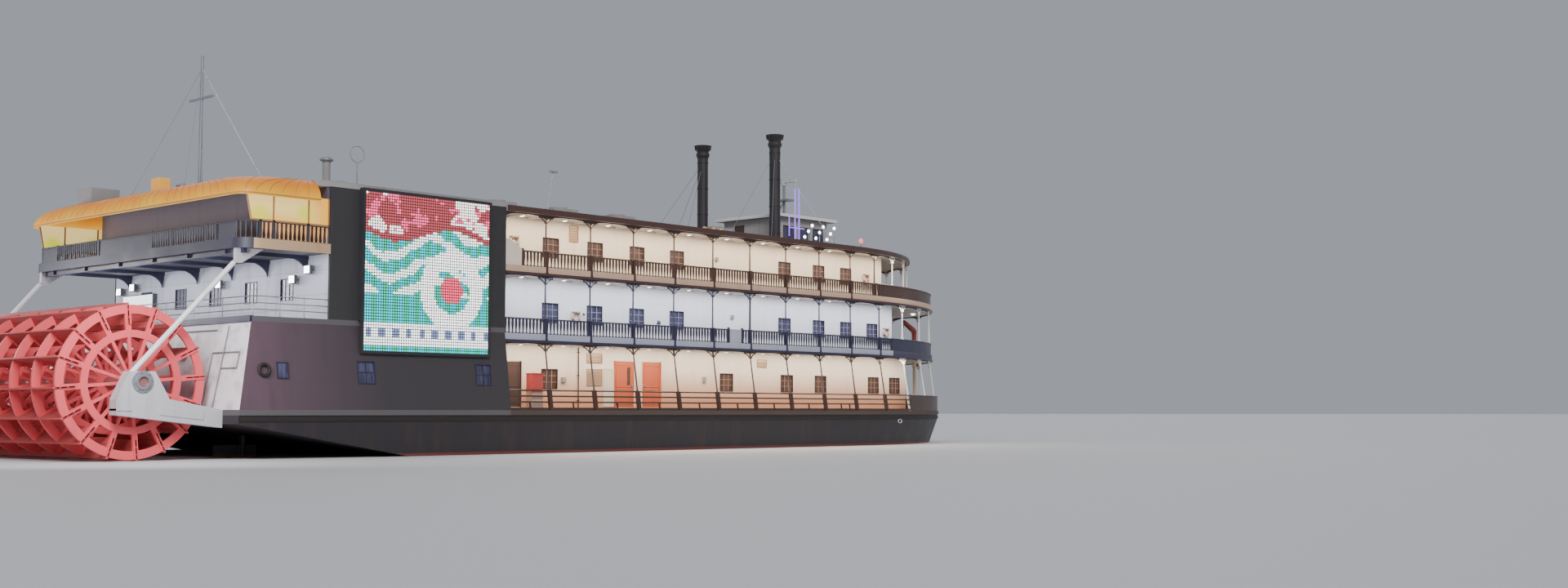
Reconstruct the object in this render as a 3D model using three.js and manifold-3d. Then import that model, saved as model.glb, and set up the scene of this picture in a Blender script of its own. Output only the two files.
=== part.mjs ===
// Sternwheel paddle boat, a three-deck river casino boat, as a 1:2 model.
// Every size below is the real boat's, in metres. A station is a distance forward of the aft end
// of the galleries, a height is taken from the flat bottom, and +Y is port.

import * as THREE from 'three';
import { mergeVertices } from 'three/addons/utils/BufferGeometryUtils.js';
import Module from 'manifold-3d';

const wasm = await Module();
wasm.setup();

// Scale: one real metre is M millimetres of the model
const SCALE = 0.5;
const M = 1000 * SCALE;
const TOUCH = 0.0006;
const CLEAR = 0.012;

// Paddle wheel
const WHEEL_STATION = -16.7;
const WHEEL_HEIGHT = 4.6;
const WHEEL_R = 3.05;
const WHEEL_HALF = 7.7;
const OUTER_RING = [2.62, 2.95];
const INNER_RING = [1.71, 1.99];
const HUB_R = 0.5;
const SPOKES = 16;
const WHEEL_TURN = THREE.MathUtils.degToRad(5);
const SPOKE_W = 0.12;
const ARM_W = 0.22;
const FRAME_T = 0.12;
const FRAME_SIDES = [-7.6, -3.8, 0, 3.8, 7.6];
const BOARD_INNER_R = 2.2;
const BOARD_T = 0.07;
const SHAFT_R = 0.2;
const SHAFT_FACETS = 32;

// Stations
const BOW_TIP = 40.5;
const BOW_START = 24.5;
const UPPER_TIP = 40.2;
const ROOF_TIP = 37;
const HOUSE_AFT = -0.1;
const HOUSE_FORE = { main: 31.3, second: 30, third: 29 };
const SCREEN_AFT = -9.2;
const BALCONY_WALL = -10.6;
const UPPER_TRANSOM = -12.7;
const BALCONY_AFT = -13.15;
const TRANSOM = -13.4;
const MIDSHIP = (BOW_TIP + WHEEL_STATION - WHEEL_R) / 2;

// Half breadths
const SIDE = 9.25;
const FLARE = 0.5;
const MAIN_SIDE = SIDE + FLARE;
const ROOF_SIDE = SIDE + 0.1;
const HOUSE_SIDE = SIDE - 1.4;

// Heights of the floors, which step up where the galleries end
const MAIN_FLOOR = 3.55;
const SECOND_FLOOR = 6.87;
const THIRD_FLOOR = 9.97;
const ROOF_TOP = 12.8;
const SECOND_STERN = 7.25;
const THIRD_STERN = 10.17;
const ROOF_STERN = 12.95;
const DECK_T = 0.22;
const WALL_T = 0.12;

// Galleries
const POST_STATIONS = [2.31, 5.05, 7.84, 10.61, 13.41, 16.2, 19.04, 21.82, 24.52];
const POST_W = 0.12;
const GALLERY_T = 0.1;
const GALLERY_INSET = 0.05;
const RAIL_TOP = 0.89;
const RAIL_H = 0.08;
const CURB_H = 0.3;
const VALANCE_H = 0.14;
const BRACKET = 0.55;
const BALUSTER_W = 0.08;
const GAPS_PER_BAY = 2;
const BOW_BAYS = 14;
const BOW_STEPS = 2 * BOW_BAYS;

// Windows and doors
const WINDOW_W = 0.95;
const WINDOW_H = 0.9;
const DOOR_SILL = 0.15;
const LEAF_T = 0.06;
const PIVOT_OUT = 0.045;
const PIVOT_R = 0.025;

const X = (station) => station - MIDSHIP;

// Solids

function solid(geometry) {
  const bare = geometry.clone();
  bare.deleteAttribute('normal');
  bare.deleteAttribute('uv');
  const merged = mergeVertices(bare, 1e-5);
  const vertProperties = new Float32Array(merged.attributes.position.array);
  const triVerts = new Uint32Array(merged.index.array);
  return new wasm.Manifold(new wasm.Mesh({ numProp: 3, vertProperties, triVerts }));
}

function geometryOf(manifold) {
  const { vertProperties, triVerts } = manifold.getMesh();
  const geometry = new THREE.BufferGeometry();
  geometry.setAttribute('position', new THREE.BufferAttribute(vertProperties, 3));
  geometry.setIndex(new THREE.BufferAttribute(triVerts, 1));
  return geometry;
}

const join = (...pieces) => geometryOf(pieces.map(solid).reduce((sum, piece) => sum.add(piece)));
const cut = (body, ...tools) =>
  geometryOf(tools.map(solid).reduce((rest, tool) => rest.subtract(tool), solid(body)));

function mirrored(geometry) {
  const copy = (geometry.index ? geometry.toNonIndexed() : geometry.clone()).scale(1, -1, 1);
  const place = copy.attributes.position;
  const corner = new THREE.Vector3();
  for (let i = 0; i < place.count; i += 3) {
    corner.fromBufferAttribute(place, i + 1);
    place.setXYZ(i + 1, place.getX(i + 2), place.getY(i + 2), place.getZ(i + 2));
    place.setXYZ(i + 2, corner.x, corner.y, corner.z);
  }
  return copy;
}

// A box between two stations, two breadths and two heights
function box(aft, fore, y0, y1, z0, z1) {
  const geometry = new THREE.BoxGeometry(fore - aft, y1 - y0, z1 - z0);
  return geometry.translate(X((aft + fore) / 2), (y0 + y1) / 2, (z0 + z1) / 2);
}

// A square bar from one point to another
function bar(from, to, width) {
  const way = to.clone().sub(from);
  const geometry = new THREE.BoxGeometry(width, width, way.length());
  const turn = new THREE.Quaternion().setFromUnitVectors(new THREE.Vector3(0, 0, 1), way.normalize());
  const middle = from.clone().add(to).multiplyScalar(0.5);
  return geometry.applyQuaternion(turn).translate(middle.x, middle.y, middle.z);
}

function upright(station, y, z0, z1, radius, sides = 8) {
  const geometry = new THREE.CylinderGeometry(radius, radius, z1 - z0, sides);
  return geometry.rotateX(Math.PI / 2).translate(X(station), y, (z0 + z1) / 2);
}

// An outline of [station, height] points that stands fore and aft, y0 to y1 thick
function elevation(outline, holes, y0, y1) {
  const shape = new THREE.Shape(outline.map(([s, z]) => new THREE.Vector2(X(s), z)));
  const geometry = new THREE.ExtrudeGeometry(shape, { depth: y1 - y0, bevelEnabled: false });
  geometry.rotateX(Math.PI / 2).translate(0, y1, 0);
  return holes.length ? cut(geometry, ...holes.map((hole) => elevation(hole, [], y0 - 1, y1 + 1))) : geometry;
}

// An outline of [y, height] points that stands athwart, from one station to the other
function athwart(outline, holes, aft, fore) {
  const shape = new THREE.Shape(outline.map(([y, z]) => new THREE.Vector2(y, z)));
  const geometry = new THREE.ExtrudeGeometry(shape, { depth: fore - aft, bevelEnabled: false });
  const axes = new THREE.Matrix4().makeBasis(
    new THREE.Vector3(0, 1, 0),
    new THREE.Vector3(0, 0, 1),
    new THREE.Vector3(1, 0, 0),
  );
  geometry.applyMatrix4(axes).translate(X(aft), 0, 0);
  return holes.length ? cut(geometry, ...holes.map((hole) => athwart(hole, [], aft - 1, fore + 1))) : geometry;
}

const rectangle = (a0, a1, z0, z1) => [[a0, z0], [a1, z0], [a1, z1], [a0, z1]];

// A half ellipse round the bow, port side first, with equal steps along it
function bowCurve(half, start, tip) {
  const reach = tip - start;
  const fine = 720;
  const point = (k) => {
    const angle = Math.PI / 2 - (Math.PI * k) / fine;
    return new THREE.Vector2(X(start) + reach * Math.cos(angle), half * Math.sin(angle));
  };
  const length = [0];
  for (let k = 1; k <= fine; k += 1) {
    length.push(length[k - 1] + point(k).distanceTo(point(k - 1)));
  }
  const curve = [];
  for (let step = 0; step <= BOW_STEPS; step += 1) {
    const wanted = (length[fine] * step) / BOW_STEPS;
    curve.push(point(length.findIndex((value) => value >= wanted - 1e-9)));
  }
  return curve;
}

// A deck's outline: straight sides and a round bow
function deckOutline(half, aft, start, tip) {
  const outline = [new THREE.Vector2(X(aft), half), ...bowCurve(half, start, tip)];
  outline.push(new THREE.Vector2(X(aft), -half));
  return outline;
}

function slab(outline, z0, z1) {
  const shape = new THREE.Shape(outline);
  return new THREE.ExtrudeGeometry(shape, { depth: z1 - z0, bevelEnabled: false }).translate(0, 0, z0);
}

// A closed skin through level rings that have the same number of points
function loft(rings) {
  const corners = [];
  const faces = [];
  const count = rings[0].points.length;
  rings.forEach(({ points, z }) => points.forEach((p) => corners.push(p.x, p.y, z)));
  for (let r = 0; r + 1 < rings.length; r += 1) {
    for (let i = 0; i < count; i += 1) {
      const a = r * count + i;
      const b = r * count + ((i + 1) % count);
      faces.push(a, b, a + count, b, b + count, a + count);
    }
  }
  const top = (rings.length - 1) * count;
  for (let i = 1; i + 1 < count; i += 1) {
    faces.push(0, i + 1, i);
    faces.push(top, top + i, top + i + 1);
  }
  const geometry = new THREE.BufferGeometry();
  geometry.setAttribute('position', new THREE.Float32BufferAttribute(corners, 3));
  return geometry.setIndex(faces);
}

function anticlockwise(outline) {
  const clockwise = THREE.ShapeUtils.isClockWise(outline.map(([a, b]) => new THREE.Vector2(a, b)));
  return clockwise ? outline.slice().reverse() : outline;
}

// A closed skin through rings of [x, y, z] corners, whose two ends are flat like the profile
function skin(rings, profile) {
  const count = profile.length;
  const faces = [];
  for (let i = 0; i + 1 < rings.length; i += 1) {
    for (let k = 0; k < count; k += 1) {
      const a = i * count + k;
      const b = i * count + ((k + 1) % count);
      faces.push(a, b, a + count, b, b + count, a + count);
    }
  }
  const last = (rings.length - 1) * count;
  const flat = profile.map(([a, b]) => new THREE.Vector2(a, b));
  THREE.ShapeUtils.triangulateShape(flat, []).forEach(([a, b, c]) => {
    faces.push(a, c, b);
    faces.push(last + a, last + b, last + c);
  });
  const geometry = new THREE.BufferGeometry();
  geometry.setAttribute('position', new THREE.Float32BufferAttribute(rings.flat(2), 3));
  return geometry.setIndex(faces);
}

// A closed [outward, height] profile carried along a level path of points, whose ends stand athwart
function sweep(path, outline) {
  const profile = anticlockwise(outline);
  const rings = path.map((point, i) => {
    const before = path[Math.max(i - 1, 0)];
    const after = path[Math.min(i + 1, path.length - 1)];
    const along = after.clone().sub(before).normalize();
    if (i === 0 || i === path.length - 1) {
      along.set(Math.sign(along.x), 0);
    }
    return profile.map(([out, z]) => [point.x - along.y * out, point.y + along.x * out, z]);
  });
  return skin(rings, profile);
}

const band = (out0, out1, z0, z1) => [[out0, z0], [out0, z1], [out1, z1], [out1, z0]];

// Materials

const paint = (color, roughness, metalness = 0) =>
  new THREE.MeshStandardMaterial({ color, roughness, metalness });
const WHITE = paint(0xe6e2d8, 0.55);
const HULL_GREY = paint(0x3d3b40, 0.5, 0.2);
const DECK_BROWN = paint(0x4a4038, 0.7);
const TRIM_BROWN = paint(0x6b5a4c, 0.6);
const CORAL = paint(0xe0575a, 0.5);
const RED_DOOR = paint(0xb5432c, 0.5);
const BROWN_DOOR = paint(0x6e4630, 0.5);
const AMBER = paint(0xe9a23a, 0.4);
const SCREEN = paint(0x4fa596, 0.3);
const STEEL = paint(0x8b8d90, 0.4, 0.6);
const STACK_BLACK = paint(0x222225, 0.5, 0.3);
const ENGINE_GREEN = paint(0x4a5f52, 0.6, 0.3);

const boat = new THREE.Group();

function add(name, geometry, material) {
  const mesh = new THREE.Mesh(geometry.scale(M, M, M), material.clone());
  mesh.name = name;
  boat.add(mesh);
}

// A piece and its mirror image
function addPair(name, starboard, material) {
  const port = mirrored(starboard);
  add(`${name}_starboard`, starboard, material);
  add(`${name}_port`, port, material);
}

// Hull: flat bottom, round bow, and a stern that rakes up to the wheel
const HULL_TOP = MAIN_FLOOR - DECK_T - TOUCH;
const WATERLINE = 1.6;
const RAKE_AFT = -5.39;
const RAKE_TOP = 3;
const HULL_RINGS = [
  // height, half breadth, start of the bow's curve, bow tip, aft end
  [0, 8.9, 22, 34.8, 3.76],
  [0.5, 9.4, 23, 37.3, 0.9],
  [WATERLINE, 9.6, 24, 39.5, RAKE_AFT],
  [RAKE_TOP, 9.7, 24.5, 40.35, TRANSOM],
  [HULL_TOP, 9.7, 24.5, 40.4, TRANSOM],
];
add('hull', loft(HULL_RINGS.map(([z, half, start, tip, aft]) => ({
  points: deckOutline(half, aft, start, tip).reverse(),
  z,
}))), HULL_GREY);

// Decks
add('main_deck', slab(deckOutline(MAIN_SIDE, TRANSOM, BOW_START, BOW_TIP), MAIN_FLOOR - DECK_T, MAIN_FLOOR),
  DECK_BROWN);

// An upper deck steps up where the galleries end, and is narrower between the screen walls
const STEP_L = 0.3;
function steppedDeck(floor, sternFloor, outline, aft) {
  const low = floor - DECK_T;
  return join(slab(outline, low, floor), aft,
    box(HOUSE_AFT - STEP_L, HOUSE_AFT + STEP_L, -HOUSE_SIDE, HOUSE_SIDE, low, floor),
    box(HOUSE_AFT - STEP_L, HOUSE_AFT, -HOUSE_SIDE, HOUSE_SIDE, low, sternFloor));
}
const upperOutline = deckOutline(SIDE, HOUSE_AFT, BOW_START, UPPER_TIP);
add('second_deck', steppedDeck(SECOND_FLOOR, SECOND_STERN, upperOutline,
  box(UPPER_TRANSOM, HOUSE_AFT, -SIDE, SIDE, SECOND_STERN - DECK_T, SECOND_STERN)), DECK_BROWN);

// A path round the balcony's stern from starboard to port, some way in from its edge
const CORNER_STEPS = 5;
function balconyPath(inset, radius, fore = SCREEN_AFT) {
  const path = [new THREE.Vector2(X(fore), -SIDE + inset)];
  const middle = new THREE.Vector2(X(BALCONY_AFT) + inset + radius, SIDE - inset - radius);
  for (const side of [-1, 1]) {
    for (let k = 0; k <= CORNER_STEPS; k += 1) {
      const share = side < 0 ? k / CORNER_STEPS : 1 - k / CORNER_STEPS;
      const angle = (share * Math.PI) / 2;
      path.push(new THREE.Vector2(middle.x - radius * Math.sin(angle),
        side * (middle.y + radius * Math.cos(angle))));
    }
  }
  path.push(new THREE.Vector2(X(fore), SIDE - inset));
  return path;
}
const BALCONY_R = 0.8;
const thirdAft = slab([...balconyPath(0, BALCONY_R), new THREE.Vector2(X(HOUSE_AFT), SIDE),
  new THREE.Vector2(X(HOUSE_AFT), -SIDE)].reverse(), THIRD_STERN - DECK_T, THIRD_STERN);
const wallSlots = [-1, 1].map((side) => box(SCREEN_AFT, HOUSE_AFT + TOUCH,
  side < 0 ? -SIDE - 1 : SIDE - WALL_T - TOUCH, side < 0 ? -SIDE + WALL_T + TOUCH : SIDE + 1,
  SECOND_FLOOR, ROOF_TOP));
add('third_deck', steppedDeck(THIRD_FLOOR, THIRD_STERN, upperOutline, cut(thirdAft, ...wallSlots)),
  DECK_BROWN);

// Roof, with two exhaust vents aft
const VENT = { station: -7.5, y: 6.2, radius: 0.17, rise: 1.5, seat: 0.1 };
const CANOPY = { fore: -9.8, inner: 0.75, innerR: 2.2, outer: -0.2, outerR: 0.6, drop: 0.87, thick: 0.07 };
const sternRoofOutline = [new THREE.Vector2(X(CANOPY.fore), -SIDE),
  ...balconyPath(CANOPY.inner + TOUCH, CANOPY.innerR - TOUCH, CANOPY.fore),
  new THREE.Vector2(X(CANOPY.fore), SIDE), new THREE.Vector2(X(HOUSE_AFT), SIDE),
  new THREE.Vector2(X(HOUSE_AFT), -SIDE)];
const roofOutline = deckOutline(ROOF_SIDE, HOUSE_AFT, BOW_START, ROOF_TIP);
add('roof', steppedDeck(ROOF_TOP, ROOF_STERN, roofOutline, join(
  slab(sternRoofOutline.reverse(), ROOF_STERN - DECK_T, ROOF_STERN),
  ...[-1, 1].map((side) => upright(VENT.station, side * VENT.y, ROOF_STERN - VENT.seat,
    ROOF_STERN + VENT.rise, VENT.radius)))), WHITE);

// House walls of the three decks, with their windows and doorways
const windowHole = (middle, sill, width = WINDOW_W) =>
  rectangle(middle - width / 2, middle + width / 2, sill, sill + WINDOW_H);

const HOUSES = [
  // name, floor, ceiling, window sill, fore end, windows' middles
  ['main', MAIN_FLOOR, SECOND_FLOOR - DECK_T, MAIN_FLOOR + 1.03, HOUSE_FORE.main,
    [3.7, 15.8, 20.6, 23.45, 28.2, 30.2]],
  ['second', SECOND_FLOOR, THIRD_FLOOR - DECK_T, SECOND_FLOOR + 0.83, HOUSE_FORE.second,
    [3.7, 6.5, 9.3, 12.1, 20.4, 23.3, 25.7, 28.1]],
  ['third', THIRD_FLOOR, ROOF_TOP - DECK_T, THIRD_FLOOR + 0.83, HOUSE_FORE.third,
    [3.7, 6.5, 9.3, 12.1, 20.4, 23.3, 25.7]],
];
const DOORS = [
  { name: 'cabin_door', aft: 1.0, fore: 2.0, height: 2.1, hingeAft: false, material: BROWN_DOOR },
  { name: 'entrance_door_aft', aft: 7.8, fore: 9.15, height: 2.25, hingeAft: true, material: RED_DOOR },
  { name: 'entrance_door_fore', aft: 9.7, fore: 11.0, height: 2.25, hingeAft: false, material: RED_DOOR },
];
const hingeStation = ({ aft, fore, hingeAft }) => (hingeAft ? aft + CLEAR + PIVOT_R : fore - CLEAR - PIVOT_R);
// The two brackets that carry a door's hinge pin
function hingeBrackets(door) {
  const middle = hingeStation(door);
  const low = MAIN_FLOOR + DOOR_SILL - 2 * CLEAR;
  const high = MAIN_FLOOR + DOOR_SILL + door.height + 2 * CLEAR;
  const y = -HOUSE_SIDE;
  const reach = PIVOT_OUT + PIVOT_R;
  return [
    box(middle - 0.05, middle + 0.05, y - reach, y + WALL_T / 2, low - TOUCH - 0.05, low - TOUCH),
    box(middle - 0.05, middle + 0.05, y - reach, y + WALL_T / 2, high + TOUCH, high + TOUCH + 0.05),
  ];
}
const ARCH_HALF = 1.0;
const ARCH_H = 2.3;
for (const [name, floor, ceiling, sill, fore, windows] of HOUSES) {
  const low = floor + TOUCH;
  const high = ceiling - TOUCH;
  const holes = windows.map((middle) => windowHole(middle, sill));
  const isMain = name === 'main';
  if (isMain) {
    DOORS.forEach((door) =>
      holes.push(rectangle(door.aft, door.fore, floor + DOOR_SILL, floor + DOOR_SILL + door.height)));
  }
  const plate = elevation(rectangle(HOUSE_AFT + TOUCH, fore, low, high), holes, -HOUSE_SIDE,
    -HOUSE_SIDE + WALL_T);
  addPair(`${name}_wall`, isMain ? join(plate, ...DOORS.flatMap(hingeBrackets)) : plate, WHITE);

  const half = HOUSE_SIDE - WALL_T - TOUCH;
  const outline = [[-half, low], [-ARCH_HALF, low], [-ARCH_HALF, floor + ARCH_H], [ARCH_HALF, floor + ARCH_H],
    [ARCH_HALF, low], [half, low], [half, high], [-half, high]];
  const frontWindows = [-5.6, -2.9, 2.9, 5.6].map((y) => windowHole(y, sill));
  add(`${name}_wall_front`, athwart(outline, frontWindows, fore - WALL_T, fore), WHITE);
}

// Doors: each leaf turns on a pin that stands just outside the wall
for (const door of DOORS) {
  const { name, aft, fore, height, material } = door;
  const pin = hingeStation(door);
  const low = MAIN_FLOOR + DOOR_SILL;
  const high = low + height;
  const y = -HOUSE_SIDE;
  const leaf = box(aft + CLEAR, fore - CLEAR, y, y + LEAF_T, low + CLEAR, high - CLEAR);
  const stile = box(pin - PIVOT_R, pin + PIVOT_R, y - PIVOT_OUT, y + LEAF_T / 2, low + CLEAR, high - CLEAR);
  const barrel = upright(pin, y - PIVOT_OUT, low - 2 * CLEAR, high + 2 * CLEAR, PIVOT_R);
  addPair(name, join(leaf, stile, barrel), material);
}

// Stern base: the main deck's aft house, whose walls slope out to the deck's edge
const BASE_TOP = SECOND_STERN - DECK_T - TOUCH;
const BASE_LOW = MAIN_FLOOR + TOUCH;
function sternBlock(thickness, fore) {
  const ring = (aft, half) => [
    new THREE.Vector2(X(aft + thickness), half - thickness),
    new THREE.Vector2(X(fore), half - thickness),
    new THREE.Vector2(X(fore), thickness - half),
    new THREE.Vector2(X(aft + thickness), thickness - half),
  ].reverse();
  const spare = thickness > 0 ? 0.2 : 0;
  const slope = (TRANSOM - UPPER_TRANSOM) / (BASE_TOP - BASE_LOW);
  const flare = FLARE / (BASE_TOP - BASE_LOW);
  return loft([
    { points: ring(TRANSOM + slope * spare, MAIN_SIDE + flare * spare), z: BASE_LOW - spare },
    { points: ring(UPPER_TRANSOM - slope * spare, SIDE - flare * spare), z: BASE_TOP + spare },
  ]);
}
const BASE_WINDOW = { middles: [-1.5, -7.55], width: 0.8, sill: MAIN_FLOOR + 1.1 };
const baseWindows = BASE_WINDOW.middles.map((middle) => box(
  middle - BASE_WINDOW.width / 2, middle + BASE_WINDOW.width / 2, -MAIN_SIDE - 1, MAIN_SIDE + 1,
  BASE_WINDOW.sill, BASE_WINDOW.sill + WINDOW_H));
add('stern_base', cut(sternBlock(0, HOUSE_AFT - TOUCH), sternBlock(WALL_T, HOUSE_AFT - WALL_T),
  box(HOUSE_AFT - 1, HOUSE_AFT + 1, -HOUSE_SIDE, HOUSE_SIDE, 0, ROOF_TOP), ...baseWindows), WHITE);

// Engine: one plain block on the main deck, ahead of the wheel
add('engine_block', box(-10.5, -5.5, -2.4, 2.4, MAIN_FLOOR + TOUCH, MAIN_FLOOR + 1.9), ENGINE_GREEN);

// Screen walls: plain walls at the full breadth, two decks tall, with returns to the house
const WALL_LOW = SECOND_STERN + TOUCH;
const WALL_HIGH = ROOF_STERN - DECK_T - TOUCH;
const returnWall = (z0, z1) => box(HOUSE_AFT - WALL_T, HOUSE_AFT, -SIDE + WALL_T / 2, -HOUSE_SIDE, z0, z1);
addPair('screen_wall', join(box(SCREEN_AFT + TOUCH, HOUSE_AFT, -SIDE, -SIDE + WALL_T, WALL_LOW, WALL_HIGH),
  returnWall(WALL_LOW, THIRD_STERN - DECK_T - TOUCH), returnWall(THIRD_STERN + TOUCH, WALL_HIGH)), WHITE);

// Screens: flat light panels in a frame, hung on the screen walls and over the stern base
const PANEL = {
  aft: -7.84, fore: -1.15, low: 5.88, high: 12.8, depth: 0.3, rim: 0.12, lowBack: 9.45, recess: 0.05,
};
addPair('light_screen', cut(
  box(PANEL.aft, PANEL.fore, -SIDE - PANEL.depth, -SIDE - TOUCH, PANEL.low, PANEL.high),
  box(PANEL.aft - 1, PANEL.fore + 1, -PANEL.lowBack, 0, PANEL.low - 1, WALL_LOW),
  box(PANEL.aft + PANEL.rim, PANEL.fore - PANEL.rim, -SIDE - 1, -SIDE - PANEL.depth + PANEL.recess,
    PANEL.low + PANEL.rim, PANEL.high - PANEL.rim)), SCREEN);

// Aft walls of the second and third decks
const AFT_WINDOWS = [-6.05, -3.2, -0.2, 2.85, 6.05];
const secondAftHalf = SIDE - WALL_T - TOUCH;
add('second_wall_aft', athwart(
  rectangle(-secondAftHalf, secondAftHalf, WALL_LOW, THIRD_STERN - DECK_T - TOUCH),
  AFT_WINDOWS.map((y) => windowHole(y, SECOND_STERN + 0.92)), SCREEN_AFT, SCREEN_AFT + WALL_T), WHITE);
const balconyLow = THIRD_STERN + TOUCH;
add('third_wall_aft', join(
  athwart(rectangle(-HOUSE_SIDE, HOUSE_SIDE, balconyLow, WALL_HIGH), [], BALCONY_WALL, BALCONY_WALL + WALL_T),
  ...[-1, 1].flatMap((side) => [
    box(BALCONY_WALL, SCREEN_AFT, side < 0 ? -HOUSE_SIDE : HOUSE_SIDE - WALL_T,
      side < 0 ? -HOUSE_SIDE + WALL_T : HOUSE_SIDE, balconyLow, WALL_HIGH),
    box(SCREEN_AFT - WALL_T, SCREEN_AFT, side < 0 ? -secondAftHalf : HOUSE_SIDE - WALL_T,
      side < 0 ? -HOUSE_SIDE + WALL_T : secondAftHalf, balconyLow, WALL_HIGH),
  ])), WHITE);

// Galleries: posts with brackets, a valance, a rail and a curb, all in one plane
const GATE = { aft: 14.65, fore: 15.55, threshold: 0.06, newel: 0.1 };
function bayHoles(from, to, floor, ceiling, gate) {
  const left = from + POST_W / 2;
  const right = to - POST_W / 2;
  const railTop = floor + RAIL_TOP;
  const crown = ceiling - VALANCE_H;
  const spring = crown - BRACKET;
  const corner = (x, way) => [0.3, 0.62, 1].map((share, k) =>
    [x + way * BRACKET * [0.08, 0.38, 1][k], spring + BRACKET * share]);
  const arch = [[left, railTop]];
  if (gate) {
    arch.push([gate.aft, railTop], [gate.aft, floor + gate.threshold],
      [gate.fore, floor + gate.threshold], [gate.fore, railTop]);
  }
  arch.push([right, railTop], [right, spring], ...corner(right, -1), ...corner(left, 1).reverse(),
    [left, spring]);
  const runs = gate ? [[left, gate.aft - gate.newel], [gate.fore + gate.newel, right]] : [[left, right]];
  const holes = [arch];
  for (const [start, end] of runs) {
    const gaps = gate ? 1 : GAPS_PER_BAY;
    const width = (end - start - BALUSTER_W * (gaps - 1)) / gaps;
    for (let k = 0; k < gaps; k += 1) {
      const x = start + k * (width + BALUSTER_W);
      holes.push(rectangle(x, x + width, floor + CURB_H, railTop - RAIL_H));
    }
  }
  return holes;
}
function gallery(floor, ceiling, gate) {
  const ends = [HOUSE_AFT + TOUCH - POST_W / 2, ...POST_STATIONS];
  const holes = [];
  for (let k = 0; k + 1 < ends.length; k += 1) {
    const withGate = gate && ends[k] < gate.aft && gate.fore < ends[k + 1];
    holes.push(...bayHoles(ends[k], ends[k + 1], floor, ceiling, withGate ? gate : null));
  }
  const outline = rectangle(HOUSE_AFT + TOUCH, BOW_START - TOUCH, floor + TOUCH, ceiling - TOUCH);
  return elevation(outline, holes, -SIDE + GALLERY_INSET, -SIDE + GALLERY_INSET + GALLERY_T);
}
addPair('second_gallery', gallery(SECOND_FLOOR, THIRD_FLOOR - DECK_T, GATE), TRIM_BROWN);
addPair('third_gallery', gallery(THIRD_FLOOR, ROOF_TOP - DECK_T, null), TRIM_BROWN);

// Gates in the second deck's rails, which open inboard on a pin that stands on the deck
const gatePin = {
  station: GATE.aft + CLEAR + PIVOT_R,
  y: -SIDE + GALLERY_INSET + GALLERY_T + CLEAR + PIVOT_R,
};
const gateLow = SECOND_FLOOR + GATE.threshold + CLEAR;
const gateHigh = SECOND_FLOOR + RAIL_TOP;
const gateOuter = -SIDE + GALLERY_INSET + 0.02;
addPair('gallery_gate', join(
  box(GATE.aft + CLEAR, GATE.fore - CLEAR, gateOuter, gateOuter + LEAF_T, gateLow, gateHigh),
  box(gatePin.station - PIVOT_R, gatePin.station + PIVOT_R, gateOuter + LEAF_T / 2, gatePin.y, gateLow,
    gateHigh),
  upright(gatePin.station, gatePin.y, SECOND_FLOOR + TOUCH, gateHigh, PIVOT_R)), WHITE);

// A square post on a point of a path, turned with it
function postOn(path, k, z0, z1, width) {
  const along = path[k + 1].clone().sub(path[k - 1]);
  const geometry = new THREE.BoxGeometry(width, width, z1 - z0);
  return geometry.rotateZ(Math.atan2(along.y, along.x)).translate(path[k].x, path[k].y, (z0 + z1) / 2);
}

// Bow galleries: a balustrade that gives way to a solid parapet, with posts and a valance above
const BOW_POSTS = Array.from({ length: BOW_BAYS - 1 }, (_, k) => 2 * k + 2);
const BOW_INSET = GALLERY_INSET + GALLERY_T / 2;
const BOW_POST_W = 0.15;
const PARAPET_T = 0.04;
const BOW_VALANCE_H = 0.26;
function bowParapet(path, floor, openSteps) {
  const half = GALLERY_T / 2;
  const ends = [path.slice(0, openSteps + 2), path.slice(-openSteps - 2)];
  const open = ends.flatMap((end) => [
    sweep(end, band(-half, half, floor + TOUCH, floor + CURB_H)),
    sweep(end, band(-half, half, floor + RAIL_TOP - RAIL_H, floor + RAIL_TOP)),
    ...end.slice(1, -1).map((_, k) => postOn(end, k + 1, floor + CURB_H / 2, floor + RAIL_TOP - RAIL_H / 2,
      BALUSTER_W)),
  ]);
  const solid = path.slice(openSteps, path.length - openSteps);
  return [...open, sweep(solid, band(-PARAPET_T, PARAPET_T, floor + TOUCH, floor + RAIL_TOP))];
}
const bowValance = (path, ceiling) =>
  sweep(path, band(-PARAPET_T, PARAPET_T, ceiling - BOW_VALANCE_H, ceiling - TOUCH));
const secondBow = bowCurve(SIDE - BOW_INSET, BOW_START, UPPER_TIP - BOW_INSET);
const thirdCeiling = THIRD_FLOOR - DECK_T;
add('second_gallery_bow', join(...bowParapet(secondBow, SECOND_FLOOR, 3), bowValance(secondBow, thirdCeiling),
  ...BOW_POSTS.map((k) => postOn(secondBow, k, SECOND_FLOOR + TOUCH, thirdCeiling - TOUCH, BOW_POST_W))),
TRIM_BROWN);
const thirdBow = bowCurve(SIDE - BOW_INSET, BOW_START, ROOF_TIP - BOW_INSET);
const roofLow = ROOF_TOP - DECK_T;
add('third_gallery_bow', join(...bowParapet(secondBow, THIRD_FLOOR, 2), bowValance(thirdBow, roofLow),
  ...BOW_POSTS.map((k) => postOn(thirdBow, k, THIRD_FLOOR + TOUCH, roofLow - TOUCH, BOW_POST_W))), TRIM_BROWN);

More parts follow.
